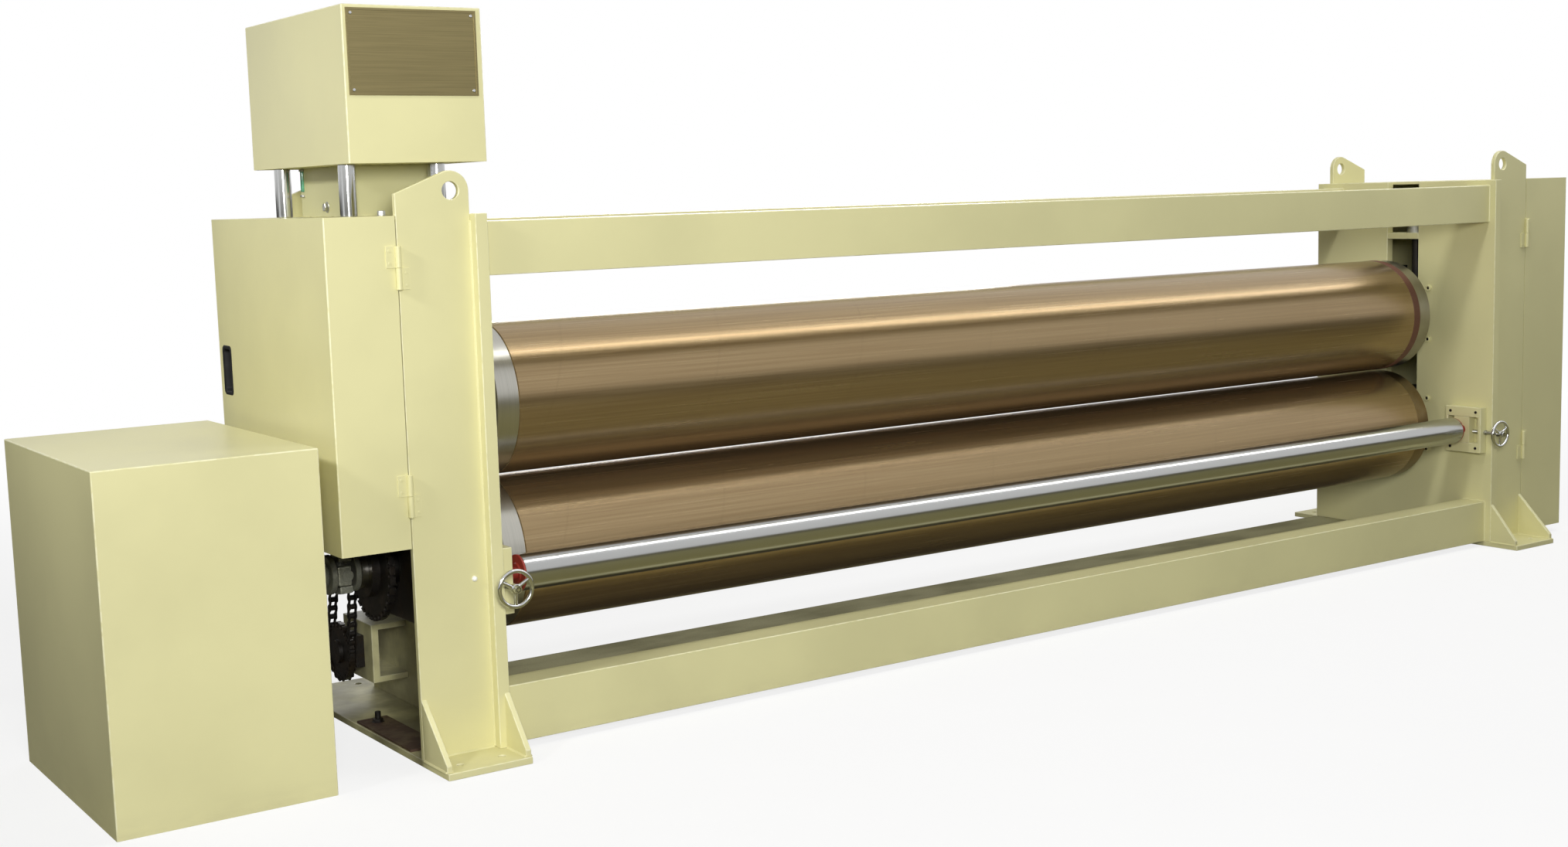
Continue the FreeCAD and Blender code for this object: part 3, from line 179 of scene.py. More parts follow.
class ChainSizes(bpy.types.PropertyGroup):
    """Sizes of the roller chain and the sprockets that it runs on."""

    pitch: length("Pitch", 0.03175, "Distance from pin to pin")
    roller: length("Roller", 0.0092, "Radius of a roller")
    pin: length("Pin", 0.005, "Radius of a pin")
    half_high: length("Half height", 0.0125, "Half the height of a link plate")
    waist: length("Waist", 0.0085, "Half the height of a link plate at its middle")
    thick: length("Plate", 0.002, "Thickness of a link plate")
    roll_teeth: whole("Roll teeth", 32, "Teeth of a roll's sprocket", 6)
    tension_teeth: whole("Tension teeth", 18, "Teeth of the tension sprocket", 6)


class FinishColours(bpy.types.PropertyGroup):
    """Colours of the finishes."""

    cream: colour("Machine paint", (219, 214, 162), "Enamel of the frame and covers")
    # The rubbed paint is paler on rounded edges, as wear and as painted highlight
    cream_worn_and_highlit: colour("Rubbed paint", (240, 237, 205), "Enamel where edges are rubbed")
    dust: colour("Dust", (128, 116, 84), "Dust and grime near the floor")
    plug: colour("Plug paint", (252, 251, 244), "Enamel of the plug on the left front column")
    tank: colour("Tank paint", (190, 187, 142), "Enamel of the oil tank")
    drive: colour("Drive paint", (128, 146, 150), "Enamel of the motor and reducer")
    red: colour("Red paint", (150, 38, 30), "Enamel of the tension roll's ends")
    coating: colour("Roll coating", (158, 137, 103), "Heat-resistant coating of the rolls")
    coating_dark: colour("Coating streaks", (146, 124, 91), "Darker streaks in the coating")
    seal: colour("Coating seal", (96, 54, 40), "Sealing band at the coating's end")
    steel: colour("Turned steel", (176, 174, 166), "Bright steel of the roll ends")
    chrome: colour("Chrome", (194, 195, 194), "Polished plating")
    zinc: colour("Zinc", (184, 184, 178), "Plated screws and rails")
    iron: colour("Cast iron", (126, 127, 114), "Joint shaft between the reducer and the lower roll")
    black_iron: colour("Oiled iron", (58, 54, 48), "Bearing housings, dark with oil")
    grime: colour("Grime", (78, 72, 52), "Oily dirt on the paint round the chain")
    # The grime colour is also painted shade on the outside of the left wall, round the chain
    black_steel: colour("Oily steel", (40, 37, 34), "Sprockets and chain")
    grease: colour("Grease", (66, 52, 36), "Old grease in the hollows")
    pad: colour("Pad", (74, 54, 40), "Levelling pads on the base plates")
    brass: colour("Brass", (140, 129, 92), "The plate on the power pack")
    plastic: colour("Black plastic", (16, 16, 16), "Recessed pulls")
    sight: colour("Sight strip", (70, 160, 120), "Oil level strip on the tank")


class StageSizes(bpy.types.PropertyGroup):
    """Camera, floor and lamps."""

    camera_place: FloatVectorProperty(
        name="Camera", default=(-4.7387, -5.7412, 1.7172), description="Place of the camera",
        subtype="TRANSLATION",
    )
    yaw: angle("Yaw", 34.625, "Turn of the view from +Y towards +X")
    pitch: angle("Pitch", -6.959, "Tilt of the view above the horizon")
    roll: angle("Roll", -1.65, "Lean of the picture")
    lens: number("Lens", 43.576, "Focal length", min=1, unit="CAMERA")
    floor_half: length("Floor", 60.0, "Half the side of the floor")
    floor_glow: number("Floor glow", 0.8, "White added to the floor near the machine")
    floor_fade: length("Floor fade", 9.0, "How far from the middle the floor has faded to white")
    flag_reach: length("Flag reach", 40.0, "Half the length of the card that bright metal mirrors")
    flag_high: length("Flag height", 1.8, "Height of that card's upright edges")
    ambient: number("Ambient", 0.15, "Strength of the room's light on the object")
    key: power("Key lamp", 325.0, "Soft lamp beside the camera")
    ceiling: power("Ceiling lamp", 135.0, "Long soft lamp above the front of the rolls")
    rear: power("Rear lamp", 280.0, "Soft lamp behind the machine")
    left: power("Left lamp", 10.5, "Soft lamp high on the left, on the covers and the power pack")


SETTINGS = {
    "ironer_edges": EdgeSizes,
    "ironer_rolls": RollSizes,
    "ironer_wheels": WheelSizes,
    "ironer_chain": ChainSizes,
    "ironer_colours": FinishColours,
    "ironer_stage": StageSizes,
}


# Shader maths

class Term:
    """A shader socket that takes part in Python sums."""

    def __init__(self, graph, socket):
        self.graph = graph
        self.socket = socket

    def __add__(self, other):
        return self.graph.maths("ADD", self, other)

    def __radd__(self, other):
        return self.graph.maths("ADD", other, self)

    def __sub__(self, other):
        return self.graph.maths("SUBTRACT", self, other)

    def __rsub__(self, other):
        return self.graph.maths("SUBTRACT", other, self)

    def __mul__(self, other):
        return self.graph.maths("MULTIPLY", self, other)

    def __rmul__(self, other):
        return self.graph.maths("MULTIPLY", other, self)

    def __truediv__(self, other):
        return self.graph.maths("DIVIDE", self, other)

    def __rtruediv__(self, other):
        return self.graph.maths("DIVIDE", other, self)


class Graph:
    """A tree of shader nodes in the making."""

    def __init__(self, tree):
        self.tree = tree

    def node(self, kind, settings=None, sockets=None, output=0):
        """A node of that type with its settings, then the values or links of its sockets."""
        node = self.tree.nodes.new(kind)
        for name, value in (settings or {}).items():
            setattr(node, name, value)
        for key, value in (sockets or {}).items():
            self.feed(node.inputs[key], value)
        return Term(self, node.outputs[output])

    def feed(self, socket, value):
        if isinstance(value, Term):
            self.tree.links.new(value.socket, socket)
        else:
            socket.default_value = value

    def maths(self, operation, *terms):
        return self.node("ShaderNodeMath", {"operation": operation}, dict(enumerate(terms)))

    def background_ray(self):
        """1 for rays that should see a white studio: camera, mirror and see-through rays."""
        camera, mirror, through = (
            self.node("ShaderNodeLightPath", output=kind)
            for kind in ("Is Camera Ray", "Is Glossy Ray", "Is Transmission Ray")
        )
        return self.maths("MAXIMUM", self.maths("MAXIMUM", camera, mirror), through)


class Finish(Graph):
    """A procedural material in the making."""

    def __init__(self, name):
        self.material = bpy.data.materials.new(name + FINISH_TAIL)
        self.material.use_nodes = True
        super().__init__(self.material.node_tree)
        self.shader = self.tree.nodes["Principled BSDF"]

    def surface(self, sockets):
        for name, value in sockets.items():
            self.feed(self.shader.inputs[name], value)
        return self.material

    def place(self):
        return self.node("ShaderNodeTexCoord", output="Object")

    def along(self, axis):
        return self.node("ShaderNodeSeparateXYZ", {}, {0: self.place()}, axis)

    def noise(self, scale, stretch=(1, 1, 1), detail=3.0):
        spread = self.node("ShaderNodeVectorMath", {"operation": "MULTIPLY"}, {0: self.place(), 1: stretch})
        return self.node("ShaderNodeTexNoise", {}, {"Vector": spread, "Scale": scale, "Detail": detail})

    def band(self, value, low, high):
        """Rises smoothly from 0 at low to 1 at high, or falls where low is the greater."""
        settings = {"interpolation_type": "SMOOTHSTEP"}
        return self.node("ShaderNodeMapRange", settings, {"Value": value, "From Min": low, "From Max": high})

    def mix(self, first, second, share):
        return self.node("ShaderNodeMix", {"data_type": "RGBA"}, {0: share, 6: first, 7: second}, 2)

    def rubbed_and_highlit(self):
        """Where an edge is rounded."""
        return self.node("ShaderNodeAttribute", {"attribute_name": "edge"}, {}, "Fac")

    def bump(self, height, distance, strength=1.0):
        return self.node("ShaderNodeBump", {}, {"Height": height, "Distance": distance, "Strength": strength})


def shade(tone, share):
    """The same colour, darker below a share of 1 and lighter above it."""
    return tuple(min(1.0, level * share) for level in tone[:3]) + (1.0,)


# Finishes

# Where on the machine a finish changes, from none of it to all of it
# The soil on the outside of the left wall round the chain is also painted shade under the hood and floor
# cover
SOIL_SHADE_X, SOIL_SHADE_Y, SOIL_SHADE_Z = (-2.20, -2.23), (-0.465, -0.44), (0.95, 0.3)
# The oil at the right-hand end is also painted shade on the rolls' right-hand ends
OIL_SHADE_X = (2.3, 2.6)
DUSTY_Z = (0.09, 0.0)
# Wrapping of the roll coating
WRAP_PITCH = 0.62
WRAP_JOINT = 0.006


def enamel(name, tone, worn_and_highlit, dust, gloss=0.34, soil_and_shade=None):
    """Sprayed enamel: clouds in the tone, paler rounded edges as wear and painted highlight, dust low down
    and a faint orange peel.

    With a colour of soil and shade, the enamel is also darker with it on the outside of the left wall round
    the chain, more towards the bottom: oily dirt, and painted shade under the hood and floor cover.
    """
    finish = Finish(name)
    clouds = finish.noise(1.7, detail=5.0)
    tint = finish.mix(shade(tone, 0.95), shade(tone, 1.04), finish.band(clouds, 0.3, 0.7))
    # Paler rounded edges: worn paint, and painted highlight along them
    edges = finish.rubbed_and_highlit() * finish.band(finish.noise(38.0), 0.3, 0.62)
    tint = finish.mix(tint, worn_and_highlit, edges * 0.55)
    dirt = finish.band(finish.noise(9.0, (1, 1, 3), 6.0), 0.2, 0.85)
    low = finish.band(finish.along("Z"), *DUSTY_Z) * dirt
    tint = finish.mix(tint, dust, low * 0.14)
    if soil_and_shade:
        # Oily dirt, darker towards the bottom, that also paints the shade under the hood and floor cover
        near = finish.band(finish.along("X"), *SOIL_SHADE_X) * finish.band(finish.along("Y"), *SOIL_SHADE_Y)
        patches = finish.band(finish.noise(5.0, detail=6.0), 0.2, 0.6)
        splash_and_shade = finish.band(finish.along("Z"), *SOIL_SHADE_Z) * patches
        tint = finish.mix(tint, soil_and_shade, near * splash_and_shade * 0.75)
    peel = finish.noise(260.0, detail=1.0)
    return finish.surface({
        "Base Color": tint,
        "Roughness": gloss + 0.16 * clouds + 0.25 * low,
        "Normal": finish.bump(peel, 0.00012, 0.35),
        "Coat Weight": 0.15,
        "Coat Roughness": 0.22,
    })


def machine_paint(tones):
    return enamel("machine_paint", tones.cream, tones.cream_worn_and_highlit, tones.dust)


def soiled_paint(tones):
    return enamel("soiled_paint", tones.cream, tones.cream_worn_and_highlit, tones.dust, 0.38, tones.grime)


def plug_paint(tones):
    return enamel("plug_paint", tones.plug, tones.plug, tones.dust)


def floor_plate(tones):
    """Painted plate on the floor, dull with trodden dirt, its cream darkened as painted shade under the
    machine.
    """
    finish = Finish("floor_plate")
    stains = finish.band(finish.noise(7.0, (0.5, 1, 1), 6.0), 0.35, 0.75)
    grit = finish.noise(220.0, detail=3.0)
    # Both tones are cream darkened as painted shade under the machine
    tint = finish.mix(shade(tones.cream, 0.46), shade(tones.cream, 0.32), stains)
    tint = finish.mix(tint, tones.grime, finish.band(grit, 0.5, 0.75) * 0.3)
    return finish.surface({
        "Base Color": tint,
        "Roughness": 0.85 + 0.15 * stains,
        "Specular IOR Level": 0.1,
        "Normal": finish.bump(grit, 0.0003, 0.4),
    })


def tank_paint(tones):
    return enamel("tank_paint", tones.tank, tones.cream_worn_and_highlit, tones.dust, 0.42)


def drive_paint(tones):
    return enamel("drive_paint", tones.drive, shade(tones.drive, 1.5), tones.dust, 0.4)


def red_paint(tones):
    return enamel("red_paint", tones.red, shade(tones.red, 1.6), tones.dust, 0.36)


def roll_coating(tones):
    """Satin coating with fine streaks along the roll, and the faint helical joints of its wrapping."""
    finish = Finish("roll_coating")
    streaks = finish.noise(1.0, (1.3, 150, 150), 5.0)
    clouds = finish.noise(1.6, (0.6, 1, 1), 3.0)
    tint = finish.mix(tones.coating_dark, tones.coating, finish.band(streaks, 0.32, 0.68))
    tint = finish.mix(tint, shade(tones.coating, 0.9), finish.band(clouds, 0.4, 0.7) * 0.4)
    turn = finish.maths("ARCTAN2", finish.along("Z"), finish.along("Y")) / math.tau
    wrap = finish.maths("FRACT", finish.along("X") / WRAP_PITCH + turn)
    joint = finish.band(finish.maths("ABSOLUTE", wrap - 0.5), WRAP_JOINT, 0.0)
    tint = finish.mix(tint, shade(tones.coating_dark, 0.8), joint * 0.35)
    grain = finish.noise(500.0, (0.4, 1, 1), 2.0)
    return finish.surface({
        "Base Color": tint,
        "Metallic": 0.8,
        "Roughness": 0.22 + 0.08 * streaks,
        "Normal": finish.bump(grain + joint, 0.00004, 0.4),
    })


def metal(name, tone, rough, stretch, spread=0.12, contrast=0.14, depth=0.00005, oil=None, oiled=0.0):
    """Bare metal with tool marks drawn out along the axes where stretch is small.

    With a colour of oil, the right-hand end of the machine is dull and darker with it, by the share oiled
    and more in patches: an oil film, and painted shade on the rolls' right-hand ends.
    """
    finish = Finish(name)
    marks = finish.noise(1.0, stretch, 4.0)
    clouds = finish.noise(14.0, detail=4.0)
    tint = finish.mix(shade(tone, 1 - contrast), shade(tone, 1 + contrast / 3), finish.band(marks, 0.3, 0.7))
    if oil:
        # Oil film, and painted shade at the right-hand end
        tint = finish.mix(tint, oil, finish.band(finish.along("X"), *OIL_SHADE_X) * (oiled + 0.4 * clouds))
    return finish.surface({
        "Base Color": tint,
        "Metallic": 1.0,
        "Roughness": rough + spread * (marks * 0.6 + clouds * 0.4),
        "Normal": finish.bump(marks, depth, 0.25),
    })


def roll_steel(tones):
    return metal("roll_steel", tones.steel, 0.24, (520, 6, 6), 0.1, 0.06, oil=tones.grease, oiled=0.1)


def oiled_roll_steel(tones):
    film_and_shade = shade(tones.coating_dark, 0.7)
    return metal("oiled_roll_steel", tones.steel, 0.3, (520, 6, 6), 0.1, 0.06, oil=film_and_shade, oiled=0.75)


def bright_chrome(tones):
    return metal("bright_chrome", tones.chrome, 0.10, (0.6, 12, 12), 0.03, 0.05, 0.000002)


# Darker copy of the chrome: painted shade in the tension roll's reflections
def polished_tube(tones):
    return metal("polished_tube", shade(tones.chrome, 0.8), 0.2, (0.6, 12, 12), 0.03, 0.05, 0.000002)


def zinc_steel(tones):
    return metal("zinc_steel", tones.zinc, 0.3, (30, 30, 30), 0.2)


def bearing_steel(tones):
    return metal("bearing_steel", shade(tones.zinc, 0.9), 0.18, (400, 8, 8))


def plate_brass(tones):
    return metal("plate_brass", tones.brass, 0.3, (5, 700, 700), 0.14)


def rough_iron(name, tone, grease, share, metallic, rough):
    """Cast or oiled iron with pits and dirty patches."""
    finish = Finish(name)
    pits = finish.noise(180.0, detail=4.0)
    patches = finish.band(finish.noise(16.0, detail=5.0), 0.45, 0.7)
    tint = finish.mix(shade(tone, 0.85), shade(tone, 1.15), finish.band(pits, 0.3, 0.7))
    tint = finish.mix(tint, grease, patches * share)
    # Paler rounded edges: wear, and painted highlight
    tint = finish.mix(tint, shade(tone, 1.7), finish.rubbed_and_highlit() * finish.band(pits, 0.35, 0.6) * 0.5)
    return finish.surface({
        "Base Color": tint,
        "Metallic": metallic,
        "Roughness": rough + 0.25 * pits - 0.15 * patches,
        "Normal": finish.bump(pits, 0.0004, 0.45),
    })


def housing_iron(tones):
    return rough_iron("housing_iron", tones.black_iron, tones.grease, 0.5, 0.4, 0.38)


def cast_iron(tones):
    return rough_iron("cast_iron", tones.iron, tones.grease, 0.35, 0.45, 0.42)


def oily_steel(tones):
    return rough_iron("oily_steel", tones.black_steel, tones.grease, 0.45, 0.6, 0.34)


def pad_steel(tones):
    return rough_iron("pad_steel", tones.pad, tones.dust, 0.3, 0.1, 0.5)


def seal_band(tones):
    return enamel("seal_band", tones.seal, shade(tones.seal, 1.4), tones.dust, 0.5)


def black_plastic(tones):
    """Moulded plastic with a fine spark-eroded grain."""
    finish = Finish("black_plastic")
    grain = finish.noise(900.0, detail=2.0)
    clouds = finish.noise(30.0)
    return finish.surface({
        "Base Color": finish.mix(tones.plastic, shade(tones.plastic, 2.2), finish.band(clouds, 0.4, 0.8)),
        "Roughness": 0.5 + 0.2 * grain,
        "Specular IOR Level": 0.25,
        "Normal": finish.bump(grain, 0.0002, 0.4),
    })


def sight_glass(tones):
    """Tinted level strip, darker in a noise of ripples."""
    finish = Finish("sight_glass")
    ripple = finish.noise(90.0)
    tint = finish.mix(tones.sight, shade(tones.sight, 0.55), finish.band(ripple, 0.35, 0.7))
    return finish.surface({"Base Color": tint, "Roughness": 0.12 + 0.1 * ripple, "Coat Weight": 0.6})


FINISHES = {maker.__name__: maker for maker in (
    machine_paint, soiled_paint, plug_paint, floor_plate, tank_paint, drive_paint, red_paint, seal_band,
    roll_coating, roll_steel, oiled_roll_steel, bright_chrome, polished_tube, zinc_steel, bearing_steel,
    plate_brass, housing_iron, cast_iron, oily_steel, pad_steel, black_plastic, sight_glass,
)}


def finish_named(name):
    """The material of that name, made when it is first asked for."""
    return bpy.data.materials.get(name + FINISH_TAIL) or FINISHES[name](bpy.context.scene.ironer_colours)


# Meshes

def welded(node):
    """Working copy of a CAD node with its corners joined and each flat stretch in one face."""
    work = bmesh.new()
    work.from_mesh(frame["nodes"][node].data)
    bmesh.ops.remove_doubles(work, verts=work.verts, dist=WELD_GAP)
    bmesh.ops.dissolve_limit(work, angle_limit=FLAT_ANGLE, verts=work.verts, edges=work.edges)
    return work


def solids(node):
    """Lowest and highest corner of each separate solid of a CAD node, from left to right."""
    work = welded(node)
    boxes, left = [], set(work.verts)
    while left:
        grown = reach = {left.pop()}
        while reach:
            reach = {edge.other_vert(vert) for vert in reach for edge in vert.link_edges} - grown
            grown = grown | reach
        left -= grown
        spans = list(zip(*(vert.co for vert in grown)))
        boxes.append((Vector(map(min, spans)), Vector(map(max, spans))))
    work.free()
    return sorted(boxes, key=lambda corners: tuple(round(level, 4) for level in corners[0]))


def sharp_edges(work):
    return [edge for edge in work.edges if edge.is_manifold and edge.calc_face_angle(0) > SHARP_ANGLE]


def bevel(work, edges, width, segments):
    """Round edges and mark the new faces, where the finishes paint paler wear and painted highlight."""
    made = bmesh.ops.bevel(
        work, geom=edges, offset=width, offset_type="OFFSET", segments=segments, profile=0.5,
        affect="EDGES", clamp_overlap=False,
    )
    mark = work.faces.layers.float["edge"]
    for face in made["faces"]:
        face[mark] = 1.0


def round_plate(work, width, segments=3):
    work.faces.layers.float.new("edge")
    if width:
        bevel(work, sharp_edges(work), width, segments)
    return work


def round_sheet(work, fold):
    """Give the folds of a sheet cover their outside radius."""
    work.faces.layers.float.new("edge")
    wide = {face for face in work.faces if face.calc_area() > fold * face.calc_perimeter()}
    folds = [e for e in sharp_edges(work) if e.is_convex and wide.issuperset(e.link_faces)]
    bevel(work, folds, fold, 4)
    return work


def loft(rings, loop=False):
    """Skin between equal rings of points, closed by flat ends or back onto the first ring."""
    work = bmesh.new()
    rows = [[work.verts.new(point) for point in ring] for ring in rings]
    pairs = list(zip(rows, rows[1:]))
    if loop:
        pairs.append((rows[-1], rows[0]))
    for low, high in pairs:
        for i in range(len(low)):
            work.faces.new((low[i - 1], low[i], high[i], high[i - 1]))
    if not loop:
        work.faces.new(rows[0])
        work.faces.new(rows[-1])
    bmesh.ops.recalc_face_normals(work, faces=work.faces)
    return work


def circle(along, radius, steps):
    turns = [math.tau * i / steps for i in range(steps)]
    return [(along, radius * math.cos(turn), radius * math.sin(turn)) for turn in turns]


def turned(profile, steps, loop=False):
    """Body of (along, radius) points turned about the local X axis."""
    return loft([circle(along, radius, steps) for along, radius in profile], loop)


def bar(start, end, radius, steps, chamfer, bore=None):
    """Round bar or tube along the local X axis, chamfered at its ends."""
    face = radius - chamfer
    outside = [(start, face), (start + chamfer, radius), (end - chamfer, radius), (end, face)]
    if bore is None:
        return turned(outside, steps)
    return turned([(start, bore)] + outside + [(end, bore)], steps, loop=True)


def block(low, high, width):
    """Box between two corners with rounded edges."""
    work = bmesh.new()
    low, high = Vector(low), Vector(high)
    bmesh.ops.create_cube(work, size=1.0)
    scale = Matrix.Diagonal((high - low).to_4d())
    scale[3][3] = 1.0
    work.transform(Matrix.Translation((low + high) / 2) @ scale)
    return round_plate(work, width, 2)


def rod_between(start, end, near, far, steps):
    """Tapered round rod from one point to another."""
    start, end = Vector(start), Vector(end)
    work = turned([(0.0, near), ((end - start).length, far)], steps)
    return moved(work, start, X.rotation_difference(end - start).to_matrix().to_4x4())


def moved(work, offset, turn=TO_X):
    work.transform(Matrix.Translation(offset) @ turn)
    return work


def hex_head(radius, high):
    """Hexagon bolt head that stands along the local X axis, with its corners chamfered."""
    rings = [circle(0, radius, 6), circle(0.82 * high, radius, 6), circle(high, 0.84 * radius, 6)]
    washer = bar(-0.0005, 0.12 * high, 1.25 * radius, 32, 0.04 * high)
    return gather([loft(rings), washer])


def cap_screw(radius, high, steps=24):
    """Socket screw head that stands along the local X axis."""
    lip = 0.12 * radius
    head = [(0, radius), (high - lip, radius), (high, radius - lip)]
    socket = [(high, 0.58 * radius), (0.4 * high, 0.55 * radius)]
    return turned(head + socket, steps)


def gather(parts):
    """Several working meshes as one."""
    joined = bmesh.new()
    for part in parts:
        mesh = bpy.data.meshes.new("part")
        part.to_mesh(mesh)
        part.free()
        joined.from_mesh(mesh)
        bpy.data.meshes.remove(mesh)
    return joined


def around(low, high, inset):
    """Four places set in from the corners of a rectangle; corners and inset are two numbers each."""
    first, second = ((low[i] + inset[i], high[i] - inset[i]) for i in (0, 1))
    return [(a, b) for a in first for b in second]


def add_object(name, work, material):
    """Object of a working mesh with one material."""
    mesh = bpy.data.meshes.new(name)
    work.to_mesh(mesh)
    work.free()
    mesh.materials.clear()
    mesh.materials.append(material)
    made = bpy.data.objects.new(name, mesh)
    bpy.context.scene.collection.objects.link(made)
    return made


def add_piece(name, work, finish, like, at=(0, 0, 0), replaced=(), bend=None):
    """Make a piece of a working mesh, with a finish, that rides on the body of the CAD node it is like.

    With bend it lies across a joint instead: two bodies, and the points where it follows each.
    """
    for face in work.faces:
        face.smooth = True
    for edge in work.edges:
        edge.smooth = edge.is_manifold and edge.calc_face_angle(0) < SMOOTH_ANGLE
    piece = add_object(name, work, finish_named(finish))
    piece.location = at
    kept_normals = piece.data.attributes.get("custom_normal")
    if kept_normals:
        piece.data.attributes.remove(kept_normals)
    weighted = piece.modifiers.new("Flat faces stay flat", "WEIGHTED_NORMAL")
    weighted.keep_sharp = True
    if bend:
        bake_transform(piece, *bend)
    else:
        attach(piece, BODY_OF[like])
    if replaced:
        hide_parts(*replaced)


def stand_in(node, tail, work, at=(0, 0, 0), finish=None, bend=None):
    """Put a piece in the place of a CAD node, in its own finish unless another is named."""
    add_piece(node + tail, work, finish or SLOT_OF[node], node, at, [node], bend)


def dress(node, width, finish=None, segments=3):
    """Stand a copy with rounded edges in for a CAD node."""
    stand_in(node, "_dressed", round_plate(welded(node), width, segments), finish=finish)


def dress_sheet(node, edges):
    stand_in(node, "_dressed", round_sheet(welded(node), edges.fold))


def replace_turned(node, work, at=(0, 0, 0), finish=None):
    stand_in(node, "_turned", work, at, finish)


def middle(low, high):
    return (low + high) / 2


# Side frames

WELD_ROOT = 0.0008
WELD_STOP = 0.02


def weld(start, end, first, second, edges):
    """Fillet weld along a corner, with legs along two faces and a rippled back."""
    start, end = Vector(start), Vector(end)
    run = end - start
    count = max(4, int(3 * run.length / edges.ripple))
    rings = []
    for i in range(count + 1):
        along = run * i / count
        leg = edges.bead * (1 + 0.07 * math.sin(math.tau * along.length / edges.ripple))
        leg *= 0.35 if i in (0, count) else 1
        corner = start + along - WELD_ROOT * (first + second)
        spread = [0 * first, first, 0.8 * first + 0.42 * second, 0.42 * first + 0.8 * second, second]
        rings.append([corner + leg * place for place in spread])
    return loft(rings)


def beam_welds(node, edges):
    """Welds round both ends of a hollow beam."""
    low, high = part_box(node)
    seams = []
    for x, inward in ((low.x, X), (high.x, -X)):
        for z, out in ((low.z, -Z), (high.z, Z)):
            if z > edges.bead:
                seams.append(weld((x, low.y, z), (x, high.y, z), inward, out, edges))
        for y, out in ((low.y, -Y), (high.y, Y)):
            seams.append(weld((x, y, low.z), (x, y, high.z), inward, out, edges))
    return seams


def column_welds(edges):
    """Welds that join the column plates to the wall plates and to the base plates."""
    seams = []
    base_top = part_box("base_plates")[1].z
    for node, face in (("front_columns", -1), ("rear_columns", 1)):
        for (name, side), (low, high) in zip(ENDS.items(), solids(node)):
            wall_low, wall_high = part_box(name + "_wall_plate")
            wall_x, edge_x = (wall_low.x, low.x) if side < 0 else (wall_high.x, high.x)
            y = low.y if face < 0 else high.y
            top = wall_high.z - WELD_STOP
            seams.append(weld((wall_x, y, low.z), (wall_x, y, top), side * X, face * Y, edges))
            if low.z < base_top + edges.bead:
                seams.append(weld((wall_x, y, low.z), (edge_x, y, low.z), face * Y, Z, edges))
    return seams


def gusset_welds(edges):
    """Welds along the feet of the ribs."""
    seams = []
    for low, high in solids("foot_gussets"):
        for x, out in ((low.x, -X), (high.x, X)):
            seams.append(weld((x, low.y, low.z), (x, high.y, low.z), out, Z, edges))
    return seams


class IRONER_OT_side_frames(bpy.types.Operator):
    """Round and paint the plates and beams of the two end frames, and weld them together"""

    bl_idname = "ironer.side_frames"
    bl_label = "Side frames"

    def execute(self, context):
        edges = context.scene.ironer_edges
        for node in ("right_wall_plate", "front_columns", "rear_columns", "foot_gussets", "slot_crossbars"):
            dress(node, edges.plate)
        for node in ("left_wall_plate", "base_plates", "tension_bracket"):
            # The soiled paint of these plates is also painted shade round the chain
            dress(node, edges.plate, "soiled_paint")
        # The tie plate's dark finish is painted shade under the machine
        dress("rear_tie_plate", edges.plate, "floor_plate")
        beams = ("top_front_beam", "top_rear_beam", "bottom_front_beam")
        for node in beams:
            dress(node, edges.beam)
        seams = column_welds(edges) + gusset_welds(edges)
        for node in beams:
            seams += beam_welds(node, edges)
        add_piece("frame_welds", gather(seams), "machine_paint", "base_plates")
        return {"FINISHED"}


# Rolls

HEAD_THICK = 0.060
SHAFT_R = 0.060
CENTRE_R = 0.012
COVER_GAP = 0.0002
BEARING_GAP = 0.0006
SEAL_DEEP = 0.002


def roll_axis(node):
    low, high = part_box(node)
    return Vector((0, middle(low.y, high.y), middle(low.z, high.z)))


def make_roll(name, sizes):
    """Coating sleeve and bright shell; returns the axis, the heads' radius and the journals' boxes."""
    at = roll_axis(name + "_roll_cover")
    low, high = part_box(name + "_roll_cover")
    shell_low, shell_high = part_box(name + "_roll_shell")
    outer, shell = (high.y - low.y) / 2, (shell_high.y - shell_low.y) / 2
    cover = bar(low.x, high.x, outer, sizes.steps, sizes.chamfer, shell + COVER_GAP)
    replace_turned(name + "_roll_cover", cover, at)
    journals = solids(name + "_journals")
    head_r = max(corner[1].y - corner[0].y for corner in journals) / 2
    sleeve = bar(shell_low.x, shell_high.x, shell, sizes.steps, sizes.chamfer, head_r)
    finish = "roll_steel" if name == "upper" else "oiled_roll_steel"
    replace_turned(name + "_roll_shell", sleeve, at, finish)
    return at, head_r, journals


